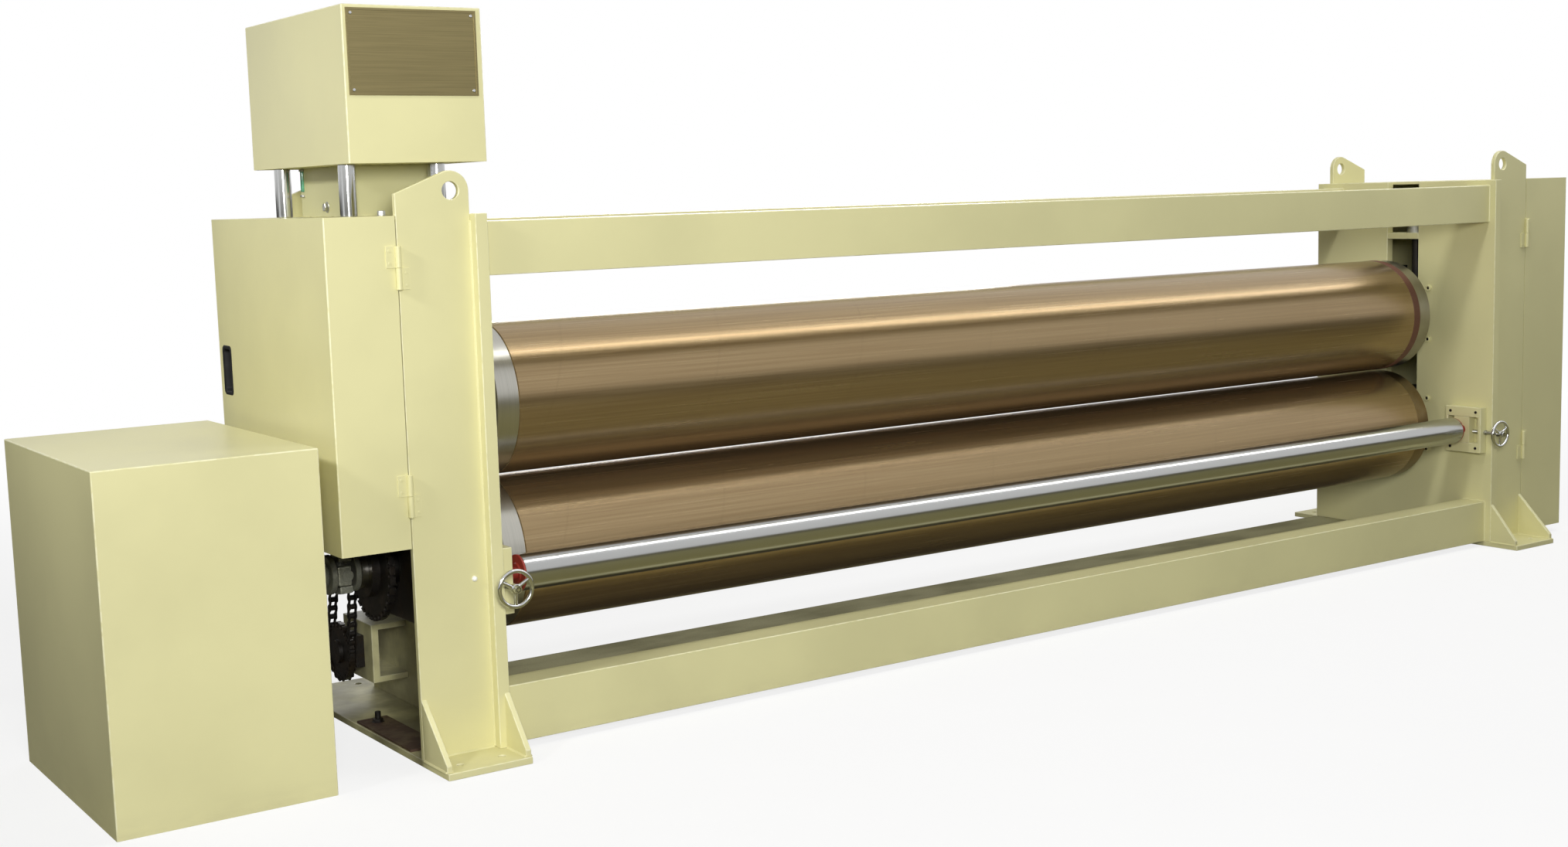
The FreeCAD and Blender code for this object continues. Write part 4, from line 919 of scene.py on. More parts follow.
def make_heads(name, sizes):
    """Roll heads with a stiffening boss, bolts and the shafts that run in the bearings."""
    at, head_r, journals = make_roll(name, sizes)
    parts, bolts = [], []
    for side, (low, high) in zip(ENDS.values(), journals):
        inner, tip = (high.x, low.x) if side < 0 else (low.x, high.x)
        face = inner + side * HEAD_THICK
        chamfer = side * sizes.chamfer
        profile = [
            (inner, head_r), (face - chamfer, head_r), (face, head_r - sizes.chamfer),
            (face, 1.9 * SHAFT_R), (face + 4 * chamfer, 1.75 * SHAFT_R), (face + 4 * chamfer, 1.3 * SHAFT_R),
            (face + 8 * chamfer, SHAFT_R), (tip - 2 * chamfer, SHAFT_R), (tip, SHAFT_R - 2 * sizes.chamfer),
            (tip, CENTRE_R), (tip - side * CENTRE_R, 0.2 * CENTRE_R),
        ]
        parts.append(turned(profile, sizes.small_steps))
        outward = TO_X if side > 0 else TO_BACK_X
        half_step = Matrix.Rotation(math.pi / sizes.head_bolts, 4, "X")
        for place in circle(face, middle(head_r, 1.9 * SHAFT_R), sizes.head_bolts):
            bolts.append(moved(hex_head(0.014, 0.011), half_step @ Vector(place), outward))
    replace_turned(name + "_journals", gather(parts), at)
    add_piece(name + "_head_bolts", gather(bolts), "oily_steel", name + "_sprocket", at)


class IRONER_OT_rolls(bpy.types.Operator):
    """Turn the two coated rolls with their bright ends, heads and shafts"""

    bl_idname = "ironer.rolls"
    bl_label = "Rolls"

    def execute(self, context):
        sizes = context.scene.ironer_rolls
        for name in ("upper", "lower"):
            make_heads(name, sizes)
        low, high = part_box("upper_roll_cover")
        rise = sizes.seal_rise
        outer = (high.y - low.y) / 2 + rise
        seal = bar(high.x - sizes.seal_wide, high.x + rise, outer, sizes.steps, rise, outer - SEAL_DEEP)
        add_piece("upper_seal_band", seal, "seal_band", "upper_roll_cover", roll_axis("upper_roll_cover"))
        return {"FINISHED"}


# Bearings and lift

def make_tension_screws():
    """Screws that hold the tension sprocket's bearing block on its bracket."""
    low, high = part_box("tension_bearing")
    places = around(low.yz, high.yz, (0.012, 0.012))
    screws = [moved(cap_screw(0.0075, 0.006), (low.x, y, z), TO_BACK_X) for y, z in places]
    add_piece("tension_screws", gather(screws), "zinc_steel", "tension_bearing")


def make_bearings(node, sizes):
    """Inner and outer races with a recessed shield between them."""
    parts = []
    for low, high in solids(node):
        outer, bore, dip = (high.y - low.y) / 2, SHAFT_R + BEARING_GAP, 0.004
        race = 0.22 * (outer - bore)
        left = [
            (low.x, bore), (low.x, bore + race), (low.x + dip, bore + race + dip),
            (low.x + dip, outer - race - dip), (low.x, outer - race), (low.x, outer),
        ]
        right = [(low.x + high.x - along, radius) for along, radius in reversed(left)]
        parts.append(turned(left + right, sizes.small_steps, loop=True))
    replace_turned(node, gather(parts), roll_axis(node))


def make_lift(sizes):
    """Cylinders with a ringed cap and an oil connection, and their rods in dark oily steel: grease, and
    painted shade.
    """
    barrels, rods = [], []
    for low, high in solids("lift_cylinders"):
        radius, tall = (high.y - low.y) / 2, high.z - low.z
        ring, bore, floor = 0.1 * tall, 0.8 * radius, tall - 0.024
        profile = [
            (floor, 0.3 * bore), (floor, bore), (0, bore), (0, radius), (ring, radius),
            (1.1 * ring, 0.94 * radius), (tall - 1.6 * ring, 0.94 * radius),
            (tall - 1.5 * ring, radius), (tall - sizes.chamfer, radius), (tall, radius - sizes.chamfer),
        ]
        place = Vector((middle(low.x, high.x), 0, low.z))
        barrels.append(moved(turned(profile, sizes.small_steps), place, TO_Z))
        port = place + Vector((0, -0.9 * radius, tall - 2.4 * ring))
        barrels.append(moved(hex_head(0.012, 0.016), port, TO_FRONT))
    replace_turned("lift_cylinders", gather(barrels), finish="zinc_steel")
    for low, high in solids("lift_rods"):
        radius, head, tall = 0.020, (high.y - low.y) / 2, high.z - low.z
        neck = tall - 0.030
        profile = [(0, radius), (neck, radius), (neck, head), (tall, head)]
        rods.append(moved(turned(profile, sizes.small_steps), (middle(low.x, high.x), 0, low.z), TO_Z))
    # Dark oily steel on the rods: grease, and painted shade round them
    replace_turned("lift_rods", gather(rods), finish="oily_steel")


class IRONER_OT_bearings(bpy.types.Operator):
    """Round the bearing housings and their rails, and turn the bearings, lift cylinders and rods"""

    bl_idname = "ironer.bearings"
    bl_label = "Bearings and lift"

    def execute(self, context):
        edges, sizes = context.scene.ironer_edges, context.scene.ironer_rolls
        for node in ("lower_housings", "upper_housings"):
            dress(node, edges.casting)
        dress("tension_bearing", edges.plate, "oily_steel")
        make_tension_screws()
        dress("housing_rails", edges.plate)
        for node in ("lower_bearings", "upper_bearings"):
            make_bearings(node, sizes)
        make_lift(sizes)
        return {"FINISHED"}


# Tension roll

SCREW_PITCH = 0.004
SCREW_STEPS = 32
RIM_STEPS = 96
IDLER_STEPS = 128
TUBE_WALL = 0.008
STUB_R = 0.020


def thread(start, end, radius):
    """Threaded bar along the local X axis."""
    pitch, run_out = SCREW_PITCH, radius - 0.3 * SCREW_PITCH
    profile, along = [(start, run_out)], start
    while along + pitch < end:
        profile += [(along + 0.25 * pitch, radius), (along + 0.75 * pitch, radius - 0.42 * pitch)]
        along += pitch
    return turned(profile + [(end, run_out)], SCREW_STEPS)


def make_handwheel(name, sizes):
    """Spoked wheel with a round rim, its hub, and the nut that holds it on the screw."""
    low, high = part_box(name + "_handwheel")
    plane = low.y + sizes.set_back
    at = Vector((middle(low.x, high.x), plane, middle(low.z, high.z)))
    ring = (high.x - low.x) / 2 - sizes.rim
    section = circle(0, sizes.rim, 20)
    rim = []
    for i in range(RIM_STEPS):
        turn = math.tau * i / RIM_STEPS
        out = Vector((math.sin(turn), 0, math.cos(turn)))
        rim.append([out * (ring + across) + Y * along for _, across, along in section])
    parts = [loft(rim, loop=True)]
    front, back = low.y - plane, high.y - plane
    hub = [
        (front, 0.72 * sizes.hub), (front + 0.002, 0.8 * sizes.hub), (front + 0.012, 0.84 * sizes.hub),
        (front + 0.014, sizes.hub), (back - 0.002, sizes.hub), (back, 0.9 * sizes.hub),
    ]
    parts.append(moved(turned(hub, 40), (0, 0, 0), TO_Y))
    for i in range(sizes.spokes):
        turn = math.pi + math.tau * i / sizes.spokes
        way = Vector((math.sin(turn), 0, math.cos(turn)))
        parts.append(rod_between(way * 0.8 * sizes.hub, way * ring, 1.35 * sizes.spoke, sizes.spoke, 20))
    parts.append(moved(hex_head(0.0075, 0.0035), (0, front + 0.0034, 0), TO_FRONT))
    replace_turned(name + "_handwheel", gather(parts), at, "bright_chrome")


def make_screw(name):
    """Adjusting screw: smooth at the wheel and between its collars, threaded in the block."""
    low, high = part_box(name + "_screw")
    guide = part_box("idler_guides")[0].y
    collar = (high.x - low.x) / 2
    at = Vector((middle(low.x, high.x), 0, middle(low.z, high.z)))
    stem, wide, front, back = 0.008, 0.008, guide - 0.0003, guide + 0.0153
    threaded = back + 0.010
    smooth = [
        (low.y, stem), (front - wide, stem), (front - wide, collar), (front, collar), (front, stem),
        (back, stem), (back, collar), (back + wide, collar), (back + wide, stem), (threaded, stem),
    ]
    parts = [turned(smooth, SCREW_STEPS), thread(threaded, high.y, stem)]
    replace_turned(name + "_screw", moved(gather(parts), (0, 0, 0), TO_Y), at, "zinc_steel")


def make_idler(sizes):
    """Polished tube and its red end caps with the stub shafts."""
    low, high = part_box("idler_tube")
    at = roll_axis("idler_tube")
    radius = (high.y - low.y) / 2
    tube = bar(low.x, high.x, radius, IDLER_STEPS, sizes.chamfer / 2, radius - TUBE_WALL)
    replace_turned("idler_tube", tube, at, "polished_tube")
    plug, rim = radius - TUBE_WALL - 0.0005, radius - 0.0006
    caps = []
    for side, (cap_low, cap_high) in zip(ENDS.values(), solids("idler_end_caps")):
        end, tip, inner = (low.x, cap_low.x, cap_high.x) if side < 0 else (high.x, cap_high.x, cap_low.x)
        face = end + side * 0.006
        boss = face + side * 0.004
        caps.append(turned([
            (inner, plug), (end, plug), (end, rim), (face - side * 0.001, rim), (face, rim - 0.001),
            (face, 0.56 * radius), (boss, 0.5 * radius), (boss, STUB_R), (tip, STUB_R),
        ], IDLER_STEPS))
    replace_turned("idler_end_caps", gather(caps), at)


def make_guides(edges):
    """Guide frames with cap screws in their corners, and the sliding blocks."""
    dress("idler_guides", edges.plate)
    dress("idler_blocks", edges.fine, "machine_paint")
    screws = []
    for side, (low, high) in zip(ENDS.values(), solids("idler_guides")):
        face, turn = (high.x, TO_X) if side < 0 else (low.x, TO_BACK_X)
        for y, z in around(low.yz, high.yz, (0.026, 0.022)):
            screws.append(moved(cap_screw(0.0065, 0.003), (face, y, z), turn))
    add_piece("guide_screws", gather(screws), "oily_steel", "idler_guides")


class IRONER_OT_tension_roll(bpy.types.Operator):
    """Turn the polished tension roll, its adjusting screws and the spoked handwheels"""

    bl_idname = "ironer.tension_roll"
    bl_label = "Tension roll"

    def execute(self, context):
        scene = context.scene
        make_idler(scene.ironer_rolls)
        make_guides(scene.ironer_edges)
        for name in ENDS:
            make_handwheel(name, scene.ironer_wheels)
            make_screw(name)
        return {"FINISHED"}


# Hoods and floor cover

def rounded_ring(x, half_y, half_z, radius, steps=8):
    """Points round a rectangle with rounded corners, in the plane of that X."""
    points = []
    for corner in range(4):
        across = half_y - radius if corner in (0, 3) else radius - half_y
        up = half_z - radius if corner in (0, 1) else radius - half_z
        for i in range(steps + 1):
            turn = math.pi / 2 * (corner + i / steps)
            points.append((x, across + radius * math.cos(turn), up + radius * math.sin(turn)))
    return points


def make_pull(name, side):
    """Moulded cup with a rounded rim that lies on the hood's side."""
    low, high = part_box(name + "_hood_pull")
    at = middle(low, high)
    face, back = (high.x, low.x) if side > 0 else (low.x, high.x)
    half_y, half_z = (high.y - low.y) / 2, (high.z - low.z) / 2
    rim, wall, lip = 0.010, 0.003, 0.002
    neck, under = rim + 0.0002, face - side * lip
    outside = [(back, rim + wall, 0.012), (back + side * 0.004, neck, 0.014), (under, neck, 0.014)]
    edge = [(under, 0.0, 0.016), (face - side * 0.7 * lip, 0.0, 0.016), (face, 0.0018, 0.015)]
    inside = [
        (face, rim - 0.001, 0.013), (face - side * 0.0025, rim + wall, 0.012),
        (back + side * 0.012, rim + 2.2 * wall, 0.011), (back + side * wall, rim + 4 * wall, 0.009),
    ]
    rings = []
    for x, inset, radius in outside + edge + inside:
        rings.append(rounded_ring(x - at.x, half_y - inset, half_z - inset, radius))
    stand_in(name + "_hood_pull", "_moulded", loft(rings), at, "black_plastic")


HINGE_R = 0.009
PIN_R = 0.005
LEAF_THICK = 0.004


def hinge_half(low, high, leaf_way, top, pin):
    """Knuckle with its leaf, and the pin where this half carries it."""
    axis = Vector((low.x + HINGE_R if leaf_way > 0 else high.x - HINGE_R, low.y + HINGE_R, low.z))
    tip = high.x if leaf_way > 0 else low.x
    across = sorted((axis.x + leaf_way * 0.5 * HINGE_R, tip))
    bore = None if pin else PIN_R + 0.0002
    parts = [moved(bar(0, top - low.z, HINGE_R, 40, 0.0012, bore), axis, TO_Z)]
    parts.append(block((across[0], high.y - LEAF_THICK, low.z), (across[1], high.y, top), 0.0006))
    if pin:
        parts.append(moved(bar(top - low.z - 0.001, high.z - low.z, PIN_R, 24, 0.001), axis, TO_Z))
    for z in (low.z + 0.014, top - 0.014):
        place = (tip - leaf_way * 0.010, high.y - LEAF_THICK, z)
        screw = turned([(-0.001, 0.0048), (0.0006, 0.0048), (0.0013, 0.0034)], 20)
        parts.append(moved(screw, place, TO_FRONT))
    return gather(parts)


def make_hinges():
    """Barrel hinges: the upper knuckles turn with the hoods, the lower ones stand on the columns."""
    for name, side in ENDS.items():
        node = name + "_hood_hinges"
        halves = [hinge_half(low, high, side, high.z, False) for low, high in solids(node)]
        replace_turned(node, gather(halves), finish="machine_paint")
    halves = []
    for low, high in solids("hinge_posts"):
        side = -1 if high.x < 0 else 1
        halves.append(hinge_half(low, high, -side, middle(low.z, high.z) - 0.0003, True))
    replace_turned("hinge_posts", gather(halves), finish="machine_paint")


class IRONER_OT_hoods(bpy.types.Operator):
    """Fold and paint the end hoods, their decks and rear panels, and hang them on barrel hinges"""

    bl_idname = "ironer.hoods"
    bl_label = "Hoods"

    def execute(self, context):
        edges = context.scene.ironer_edges
        for name, side in ENDS.items():
            dress_sheet(name + "_hood", edges)
            make_pull(name, side)
        make_hinges()
        dress("hood_decks", edges.rim)
        dress("hood_rear_panels", edges.rim)
        return {"FINISHED"}


class IRONER_OT_floor_cover(bpy.types.Operator):
    """Fold and paint the cover that stands over the drive"""

    bl_idname = "ironer.floor_cover"
    bl_label = "Floor cover"

    def execute(self, context):
        dress_sheet("drive_cover", context.scene.ironer_edges)
        return {"FINISHED"}


# Power pack

def make_posts(sizes):
    posts = []
    for low, high in solids("pack_posts"):
        radius = (high.y - low.y) / 2
        post = bar(0, high.z - low.z, radius, sizes.small_steps, 0.0015)
        posts.append(moved(post, (middle(low.x, high.x), middle(low.y, high.y), low.z), TO_Z))
    replace_turned("pack_posts", gather(posts), finish="bright_chrome")


def make_plate():
    """Bare brass plate with a raised border, held by four small screws."""
    low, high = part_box("nameplate")
    border, rise = 0.007, 0.0012
    face = low.y + rise
    parts = [block((low.x, face, low.z), (high.x, high.y, high.z), 0.0004)]
    strips = [
        (low.x, low.z, high.x, low.z + border), (low.x, high.z - border, high.x, high.z),
        (low.x, low.z + border, low.x + border, high.z - border),
        (high.x - border, low.z + border, high.x, high.z - border),
    ]
    for x0, z0, x1, z1 in strips:
        parts.append(block((x0, low.y, z0), (x1, face + 0.0003, z1), 0.0003))
    stand_in("nameplate", "_bordered", gather(parts), finish="plate_brass")
    screws = []
    for x, z in around(low.xz, high.xz, (2.2 * border, 2.2 * border)):
        screw = turned([(0, 0.005), (0.0007, 0.0045), (0.001, 0.003)], 24)
        screws.append(moved(screw, (x, face, z), TO_FRONT))
    add_piece("plate_screws", gather(screws), "bright_chrome", "nameplate")


def make_tank(edges):
    """Oil tank with a level strip in two clamps, and a drain plug."""
    dress("oil_tank", edges.plate, "tank_paint")
    low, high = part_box("oil_tank")

    def strip(proud, margin, bottom, top, width):
        near, far = high.y - 0.030 - margin, high.y - 0.012 + margin
        return block((low.x - proud, near, bottom), (low.x + 0.001, far, top), width)

    level = strip(0.006, 0.0, high.z - 0.075, high.z - 0.010, 0.002)
    add_piece("tank_sight_strip", level, "sight_glass", "oil_tank")
    parts = [strip(0.008, 0.003, z - 0.008, z, 0.0015) for z in (high.z - 0.084, high.z - 0.002)]
    parts.append(moved(hex_head(0.014, 0.012), (low.x, middle(low.y, high.y), low.z + 0.030), TO_BACK_X))
    add_piece("tank_fittings", gather(parts), "zinc_steel", "pack_tray")


class IRONER_OT_power_pack(bpy.types.Operator):
    """Paint the covered power pack, its tank and plate, and stand it on polished posts"""

    bl_idname = "ironer.power_pack"
    bl_label = "Power pack"

    def execute(self, context):
        edges = context.scene.ironer_edges
        dress_sheet("pack_cover", edges)
        dress("pack_tray", edges.rim)
        dress("pump_motor", edges.casting)
        make_tank(edges)
        make_posts(context.scene.ironer_rolls)
        make_plate()
        return {"FINISHED"}


# Chain drive

PLATE_GAP = 0.0002


def left_of(way):
    return Vector((0, -way.z, way.y))


def chain_wheels(sizes):
    """Centre, pitch radius, teeth and turning sense of the sprockets, in the chain's order."""
    def wheel(node, teeth, sense):
        low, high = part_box(node)
        centre = Vector((0, middle(low.y, high.y), middle(low.z, high.z)))
        return centre, sizes.pitch / (2 * math.sin(math.pi / teeth)), teeth, sense
    return [
        wheel("upper_sprocket", sizes.roll_teeth, 1),
        wheel("lower_sprocket", sizes.roll_teeth, -1),
        wheel("tension_sprocket", sizes.tension_teeth, 1),
    ]


def free_span(wheel, following):
    """Direction of the straight run of chain from one sprocket to the next."""
    line = following[0] - wheel[0]
    lean = math.asin((following[3] * following[1] - wheel[3] * wheel[1]) / line.length)
    ahead = line.normalized()
    return ahead * math.cos(lean) - left_of(ahead) * math.sin(lean)


def turn_of(way):
    return math.atan2(way.z, way.y)


def seated_rollers(wheel, arrive, leave):
    """Places of the rollers that lie in a sprocket's tooth gaps."""
    centre, radius, teeth, sense = wheel
    step = math.tau / teeth
    sweep = (sense * (turn_of(leave) - turn_of(arrive))) % math.tau
    first = (sense * (math.pi / 2 - turn_of(arrive))) % step
    places = []
    for i in range(int((sweep - first) / step) + 1):
        turn = turn_of(arrive) + sense * (first + i * step)
        places.append(centre + radius * Vector((0, math.cos(turn), math.sin(turn))))
    return places


def chain_places(sizes):
    """Middles of all the chain's rollers, in order round the loop."""
    wheels = chain_wheels(sizes)
    ways = [free_span(wheels[i], wheels[(i + 1) % len(wheels)]) for i in range(len(wheels))]
    seated = []
    for i, wheel in enumerate(wheels):
        arrive, leave = (-left_of(way) * wheel[3] for way in (ways[i - 1], ways[i]))
        seated.append(seated_rollers(wheel, arrive, leave))
    places = []
    for i, group in enumerate(seated):
        places += group
        start, end = group[-1], seated[(i + 1) % len(seated)][0]
        count = round((end - start).length / sizes.pitch)
        places += [start.lerp(end, step / count) for step in range(1, count)]
    return places


def link_plate(pitch, sizes, x):
    """Waisted plate from the origin to a point one pitch along local Y."""
    outline = []
    for centre, start in ((pitch, -0.5), (0.0, 0.5)):
        for i in range(9):
            turn = math.pi * (start + i / 8)
            outline.append((centre + sizes.half_high * math.cos(turn), sizes.half_high * math.sin(turn)))
        outline.append((pitch / 2, sizes.waist if start < 0 else -sizes.waist))
    half = sizes.thick / 2
    return loft([[(x + side, y, z) for y, z in outline] for side in (-half, half)])


def make_chain(sizes):
    """Roller chain of outer and inner links round the three sprockets."""
    low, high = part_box("drive_chain")
    at_x = middle(low.x, high.x)
    outer = (high.x - low.x) / 2 - sizes.thick / 2
    inner = outer - sizes.thick - PLATE_GAP
    places = chain_places(sizes)
    parts = []
    for i, place in enumerate(places):
        following = places[(i + 1) % len(places)]
        run = following - place
        turn = Matrix.Rotation(turn_of(run), 4, "X")
        set_out = outer if i % 2 else inner
        for side in (-1, 1):
            parts.append(moved(link_plate(run.length, sizes, side * set_out), place, turn))
        reach = outer + 0.5 * sizes.thick
        parts.append(moved(bar(-reach, reach, sizes.pin, 16, 0.0008), place))
        width = inner - sizes.thick
        parts.append(moved(bar(-width, width, sizes.roller, 20, 0.0006), place))
    (top, radius), (bottom, _) = (wheel[:2] for wheel in chain_wheels(sizes)[:2])
    bend = ("frame", "upper_carriage", bottom + 0.7 * radius * Z, top - 0.7 * radius * Z)
    stand_in("drive_chain", "_links", gather(parts), (at_x, 0, 0), "oily_steel", bend)


class IRONER_OT_chain_drive(bpy.types.Operator):
    """Lay a roller chain of separate links round the three sprockets"""

    bl_idname = "ironer.chain_drive"
    bl_label = "Chain drive"

    def execute(self, context):
        edges = context.scene.ironer_edges
        for node in ("upper_sprocket", "lower_sprocket", "tension_sprocket"):
            dress(node, edges.fine, segments=2)
        make_chain(context.scene.ironer_chain)
        return {"FINISHED"}


# Drive unit under the floor cover

CASE_LONG = 0.190
JOINT_R = 0.064
FLANGE = 0.018
FORK = 0.062
EAR = (0.026, 0.032)
CROSS_R = 0.015
TUBE_R = 0.034


def make_motor():
    """Finned motor with end bells, a fan cowl, two feet and a terminal box."""
    low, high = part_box("drive_motor")
    axis_z, radius = roll_axis("joint_shaft").z, (high.y - low.y) / 2
    core, cover, fins = 0.88 * radius, 0.97 * radius, 26
    bell, cowl = high.x - 0.045, low.x + 0.075
    front = [
        (high.x, 0.62 * radius), (high.x, 0.9 * radius), (bell + 0.008, radius), (bell, radius), (bell, core),
    ]
    rear = [(cowl, core), (cowl, cover), (low.x + 0.02, cover), (low.x, 0.84 * radius), (low.x, 0.3 * radius)]
    parts = [turned(front + rear, 96)]
    for i in range(fins):
        turn = math.tau * (i + 0.5) / fins
        fin = block((cowl + 0.004, 0.84 * radius, -0.0022), (bell - 0.004, 0.99 * radius, 0.0022), 0.001)
        parts.append(moved(fin, (0, 0, 0), Matrix.Rotation(turn, 4, "X")))
    foot_z, top = low.z - axis_z, high.z - axis_z
    for y in (-0.080, 0.080):
        for foot_top in (-0.06, foot_z + 0.016):
            parts.append(block((bell - 0.10, y - 0.020, foot_z), (bell, y + 0.020, foot_top), 0.003))
    lid = top - 0.012
    parts.append(block((high.x - 0.180, -0.060, 0.8 * radius), (high.x - 0.070, 0.060, lid), 0.004))
    parts.append(block((high.x - 0.184, -0.060, lid), (high.x - 0.066, 0.060, top), 0.003))
    stand_in("drive_motor", "_finned", gather(parts), (0, 0, axis_z), "drive_paint")


def make_reducer(edges):
    """Gear case with bolted sides, a round cover on each and a filler plug."""
    dress("gear_reducer", edges.casting)
    (low, high), axis_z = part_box("gear_reducer"), roll_axis("joint_shaft").z
    far, near = low.x, low.x + CASE_LONG
    inset, apart = 0.028, 0.075
    parts = []
    for y, turn in ((low.y, TO_FRONT), (high.y, TO_Y)):
        for x in (far + inset, near - inset):
            for z in (low.z + inset, axis_z - apart, axis_z + apart, high.z - inset):
                parts.append(moved(hex_head(0.010, 0.008), (x, y, z), turn))
        parts.append(moved(bar(0, 0.009, 0.026, 40, 0.002), (middle(far, near), y, axis_z), turn))
    parts.append(moved(hex_head(0.016, 0.014), (middle(far, near), 0, high.z), TO_Z))
    add_piece("reducer_bolts", gather(parts), "zinc_steel", "gear_reducer")


def universal_joint(start):
    """Two flanges with forks at right angles, and the cross that joins them, outwards along -X."""
    fork, end = start - FLANGE, start - FLANGE - FORK
    centre = middle(fork, end)
    parts = [bar(fork, start, JOINT_R, 64, 0.002), bar(end - FLANGE, end, JOINT_R, 64, 0.002)]
    for degrees, low_x, high_x in ((90, centre - CROSS_R, fork), (0, end, centre + CROSS_R)):
        pair = [moved(bar(0.002 - JOINT_R, JOINT_R - 0.002, CROSS_R, 32, 0.001), (centre, 0, 0), TO_Y)]
        for sign, way in ((-1, TO_FRONT), (1, TO_Y)):
            near, far = sorted((sign * (JOINT_R - EAR[0]), sign * JOINT_R))
            pair.append(block((low_x, near, -EAR[1]), (high_x, far, EAR[1]), 0.006))
            cap = bar(0, 0.003, 1.3 * CROSS_R, 32, 0.001)
            pair.append(moved(cap, (centre, sign * (JOINT_R - 0.001), 0), way))
        parts.append(moved(gather(pair), (0, 0, 0), Matrix.Rotation(math.radians(degrees), 4, "X")))
    return parts


def make_joint_shaft():
    """Tube with a universal joint at each end and the stub that enters the reducer."""
    (low, high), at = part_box("joint_shaft"), roll_axis("joint_shaft")
    long, stub, bead = 2 * FLANGE + FORK, 0.060, TUBE_R + 0.006
    far, near = low.x + stub + long, high.x - long
    parts = universal_joint(high.x) + universal_joint(far)
    parts.append(turned([
        (far - 0.002, TUBE_R), (far + 0.004, bead), (far + 0.010, TUBE_R),
        (near - 0.010, TUBE_R), (near - 0.004, bead), (near + 0.002, TUBE_R),
    ], 48))
    parts.append(bar(low.x, low.x + stub + 0.002, 0.030, 48, 0.002))
    stand_in("joint_shaft", "_forked", gather(parts), at, "cast_iron")


class IRONER_OT_drive_unit(bpy.types.Operator):
    """Build the finned motor, the reducer on its stand and the joint shaft"""

    bl_idname = "ironer.drive_unit"
    bl_label = "Drive unit"

    def execute(self, context):
        edges = context.scene.ironer_edges
        make_motor()
        make_reducer(edges)
        dress("drive_base", edges.plate)
        make_joint_shaft()
        return {"FINISHED"}


# Bolts, pads and small fittings

BOLT_HEAD = 0.012
PAD_TOP = 0.05
PLUG_X, PLUG_Z = -2.2685, 0.562
DECK_BOLT_X, DECK_BOLT_Y = -2.44, -0.30


def make_small_fittings():
    """White plug on the left front column and a bolt on the left deck."""
    front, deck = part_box("front_columns")[0].y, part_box("hood_decks")[1].z
    dome = [(0, 0.009), (0.003, 0.009), (0.006, 0.008), (0.009, 0.006), (0.011, 0.003), (0.0115, 0.001)]
    plug = moved(turned(dome, 32), (0, 0, 0), TO_FRONT)
    add_piece("column_nipple", plug, "plug_paint", "front_columns", (PLUG_X, front, PLUG_Z))
    bolt = moved(hex_head(0.012, 0.016), (0, 0, 0), TO_Z)
    add_piece("deck_bolt", bolt, "zinc_steel", "hood_decks", (DECK_BOLT_X, DECK_BOLT_Y, deck))


def make_frame_bolts():
    """Painted socket screws in the walls, and black levelling bolts in the base plates."""
    painted, sockets, black = [], [], []
    for low, high in solids("frame_bolts"):
        place = middle(low, high)
        if low.z > PAD_TOP:
            x, turn = (high.x - BOLT_HEAD, TO_X) if place.x < 0 else (low.x + BOLT_HEAD, TO_BACK_X)
            face = Vector((x, place.y, place.z))
            painted.append(moved(cap_screw(0.0145, 0.0115, 40), face, turn))
            sockets.append(moved(loft([circle(depth, 0.0076, 6) for depth in (0.004, 0.0062)]), face, turn))
        else:
            top = Vector((place.x, place.y, high.z - BOLT_HEAD))
            black.append(moved(hex_head(0.017, BOLT_HEAD), top, TO_Z))
            black.append(moved(bar(0, 0.034, 0.010, 32, 0.0015), top, TO_Z))
    add_piece(
        "frame_bolts_painted", gather(painted), "machine_paint", "base_plates", replaced=["frame_bolts"]
    )
    for name, parts in (("frame_bolt_sockets", sockets), ("levelling_bolts", black)):
        add_piece(name, gather(parts), "oily_steel", "base_pads")


class IRONER_OT_fasteners(bpy.types.Operator):
    """Round the frame's bolts, the levelling pads and the small fittings"""

    bl_idname = "ironer.fasteners"
    bl_label = "Bolts and pads"

    def execute(self, context):
        edges = context.scene.ironer_edges
        make_frame_bolts()
        dress("base_pads", edges.rim, "pad_steel")
        make_small_fittings()
        return {"FINISHED"}


# Stage

SENSOR_WIDE = 36.0
VIEW_FAR = 400.0
FLOOR_GAP = 0.0005
FLAG_SPAN = (7.0, -9.5)
FLAG_LOW = 0.001
# Where the card turns dark, as painted shade of the floor under the machine
FLAG_SHADE_TURN = (-0.6, 0.2)
# Place, target, size and spread in degrees of each lamp
LAMPS = {
    "key": ((-4.4, -6.2, 2.6), (-0.9, -0.4, 1.0), (2.0, 1.4), 180),
    "ceiling": ((3.0, -1.35, 4.6), (3.0, -1.35, 0.0), (8.5, 0.5), 180),
    "rear": ((3.5, 7.0, 3.6), (0.2, 0.0, 0.9), (5.0, 2.0), 180),
    "left": ((-6.6, -1.2, 3.8), (-2.8, 0.0, 1.55), (0.6, 0.6), 48),
}


def view_matrix(stage):
    """Camera matrix from its place and its yaw, pitch and roll."""
    flat = math.cos(stage.pitch)
    ahead = Vector((math.sin(stage.yaw) * flat, math.cos(stage.yaw) * flat, math.sin(stage.pitch)))
    level = Vector((math.cos(stage.yaw), -math.sin(stage.yaw), 0))
    upright = level.cross(ahead)
    right = math.cos(stage.roll) * level + math.sin(stage.roll) * upright
    up = math.cos(stage.roll) * upright - math.sin(stage.roll) * level
    turn = Matrix((right, up, -ahead)).transposed().to_4x4()
    return Matrix.Translation(stage.camera_place) @ turn


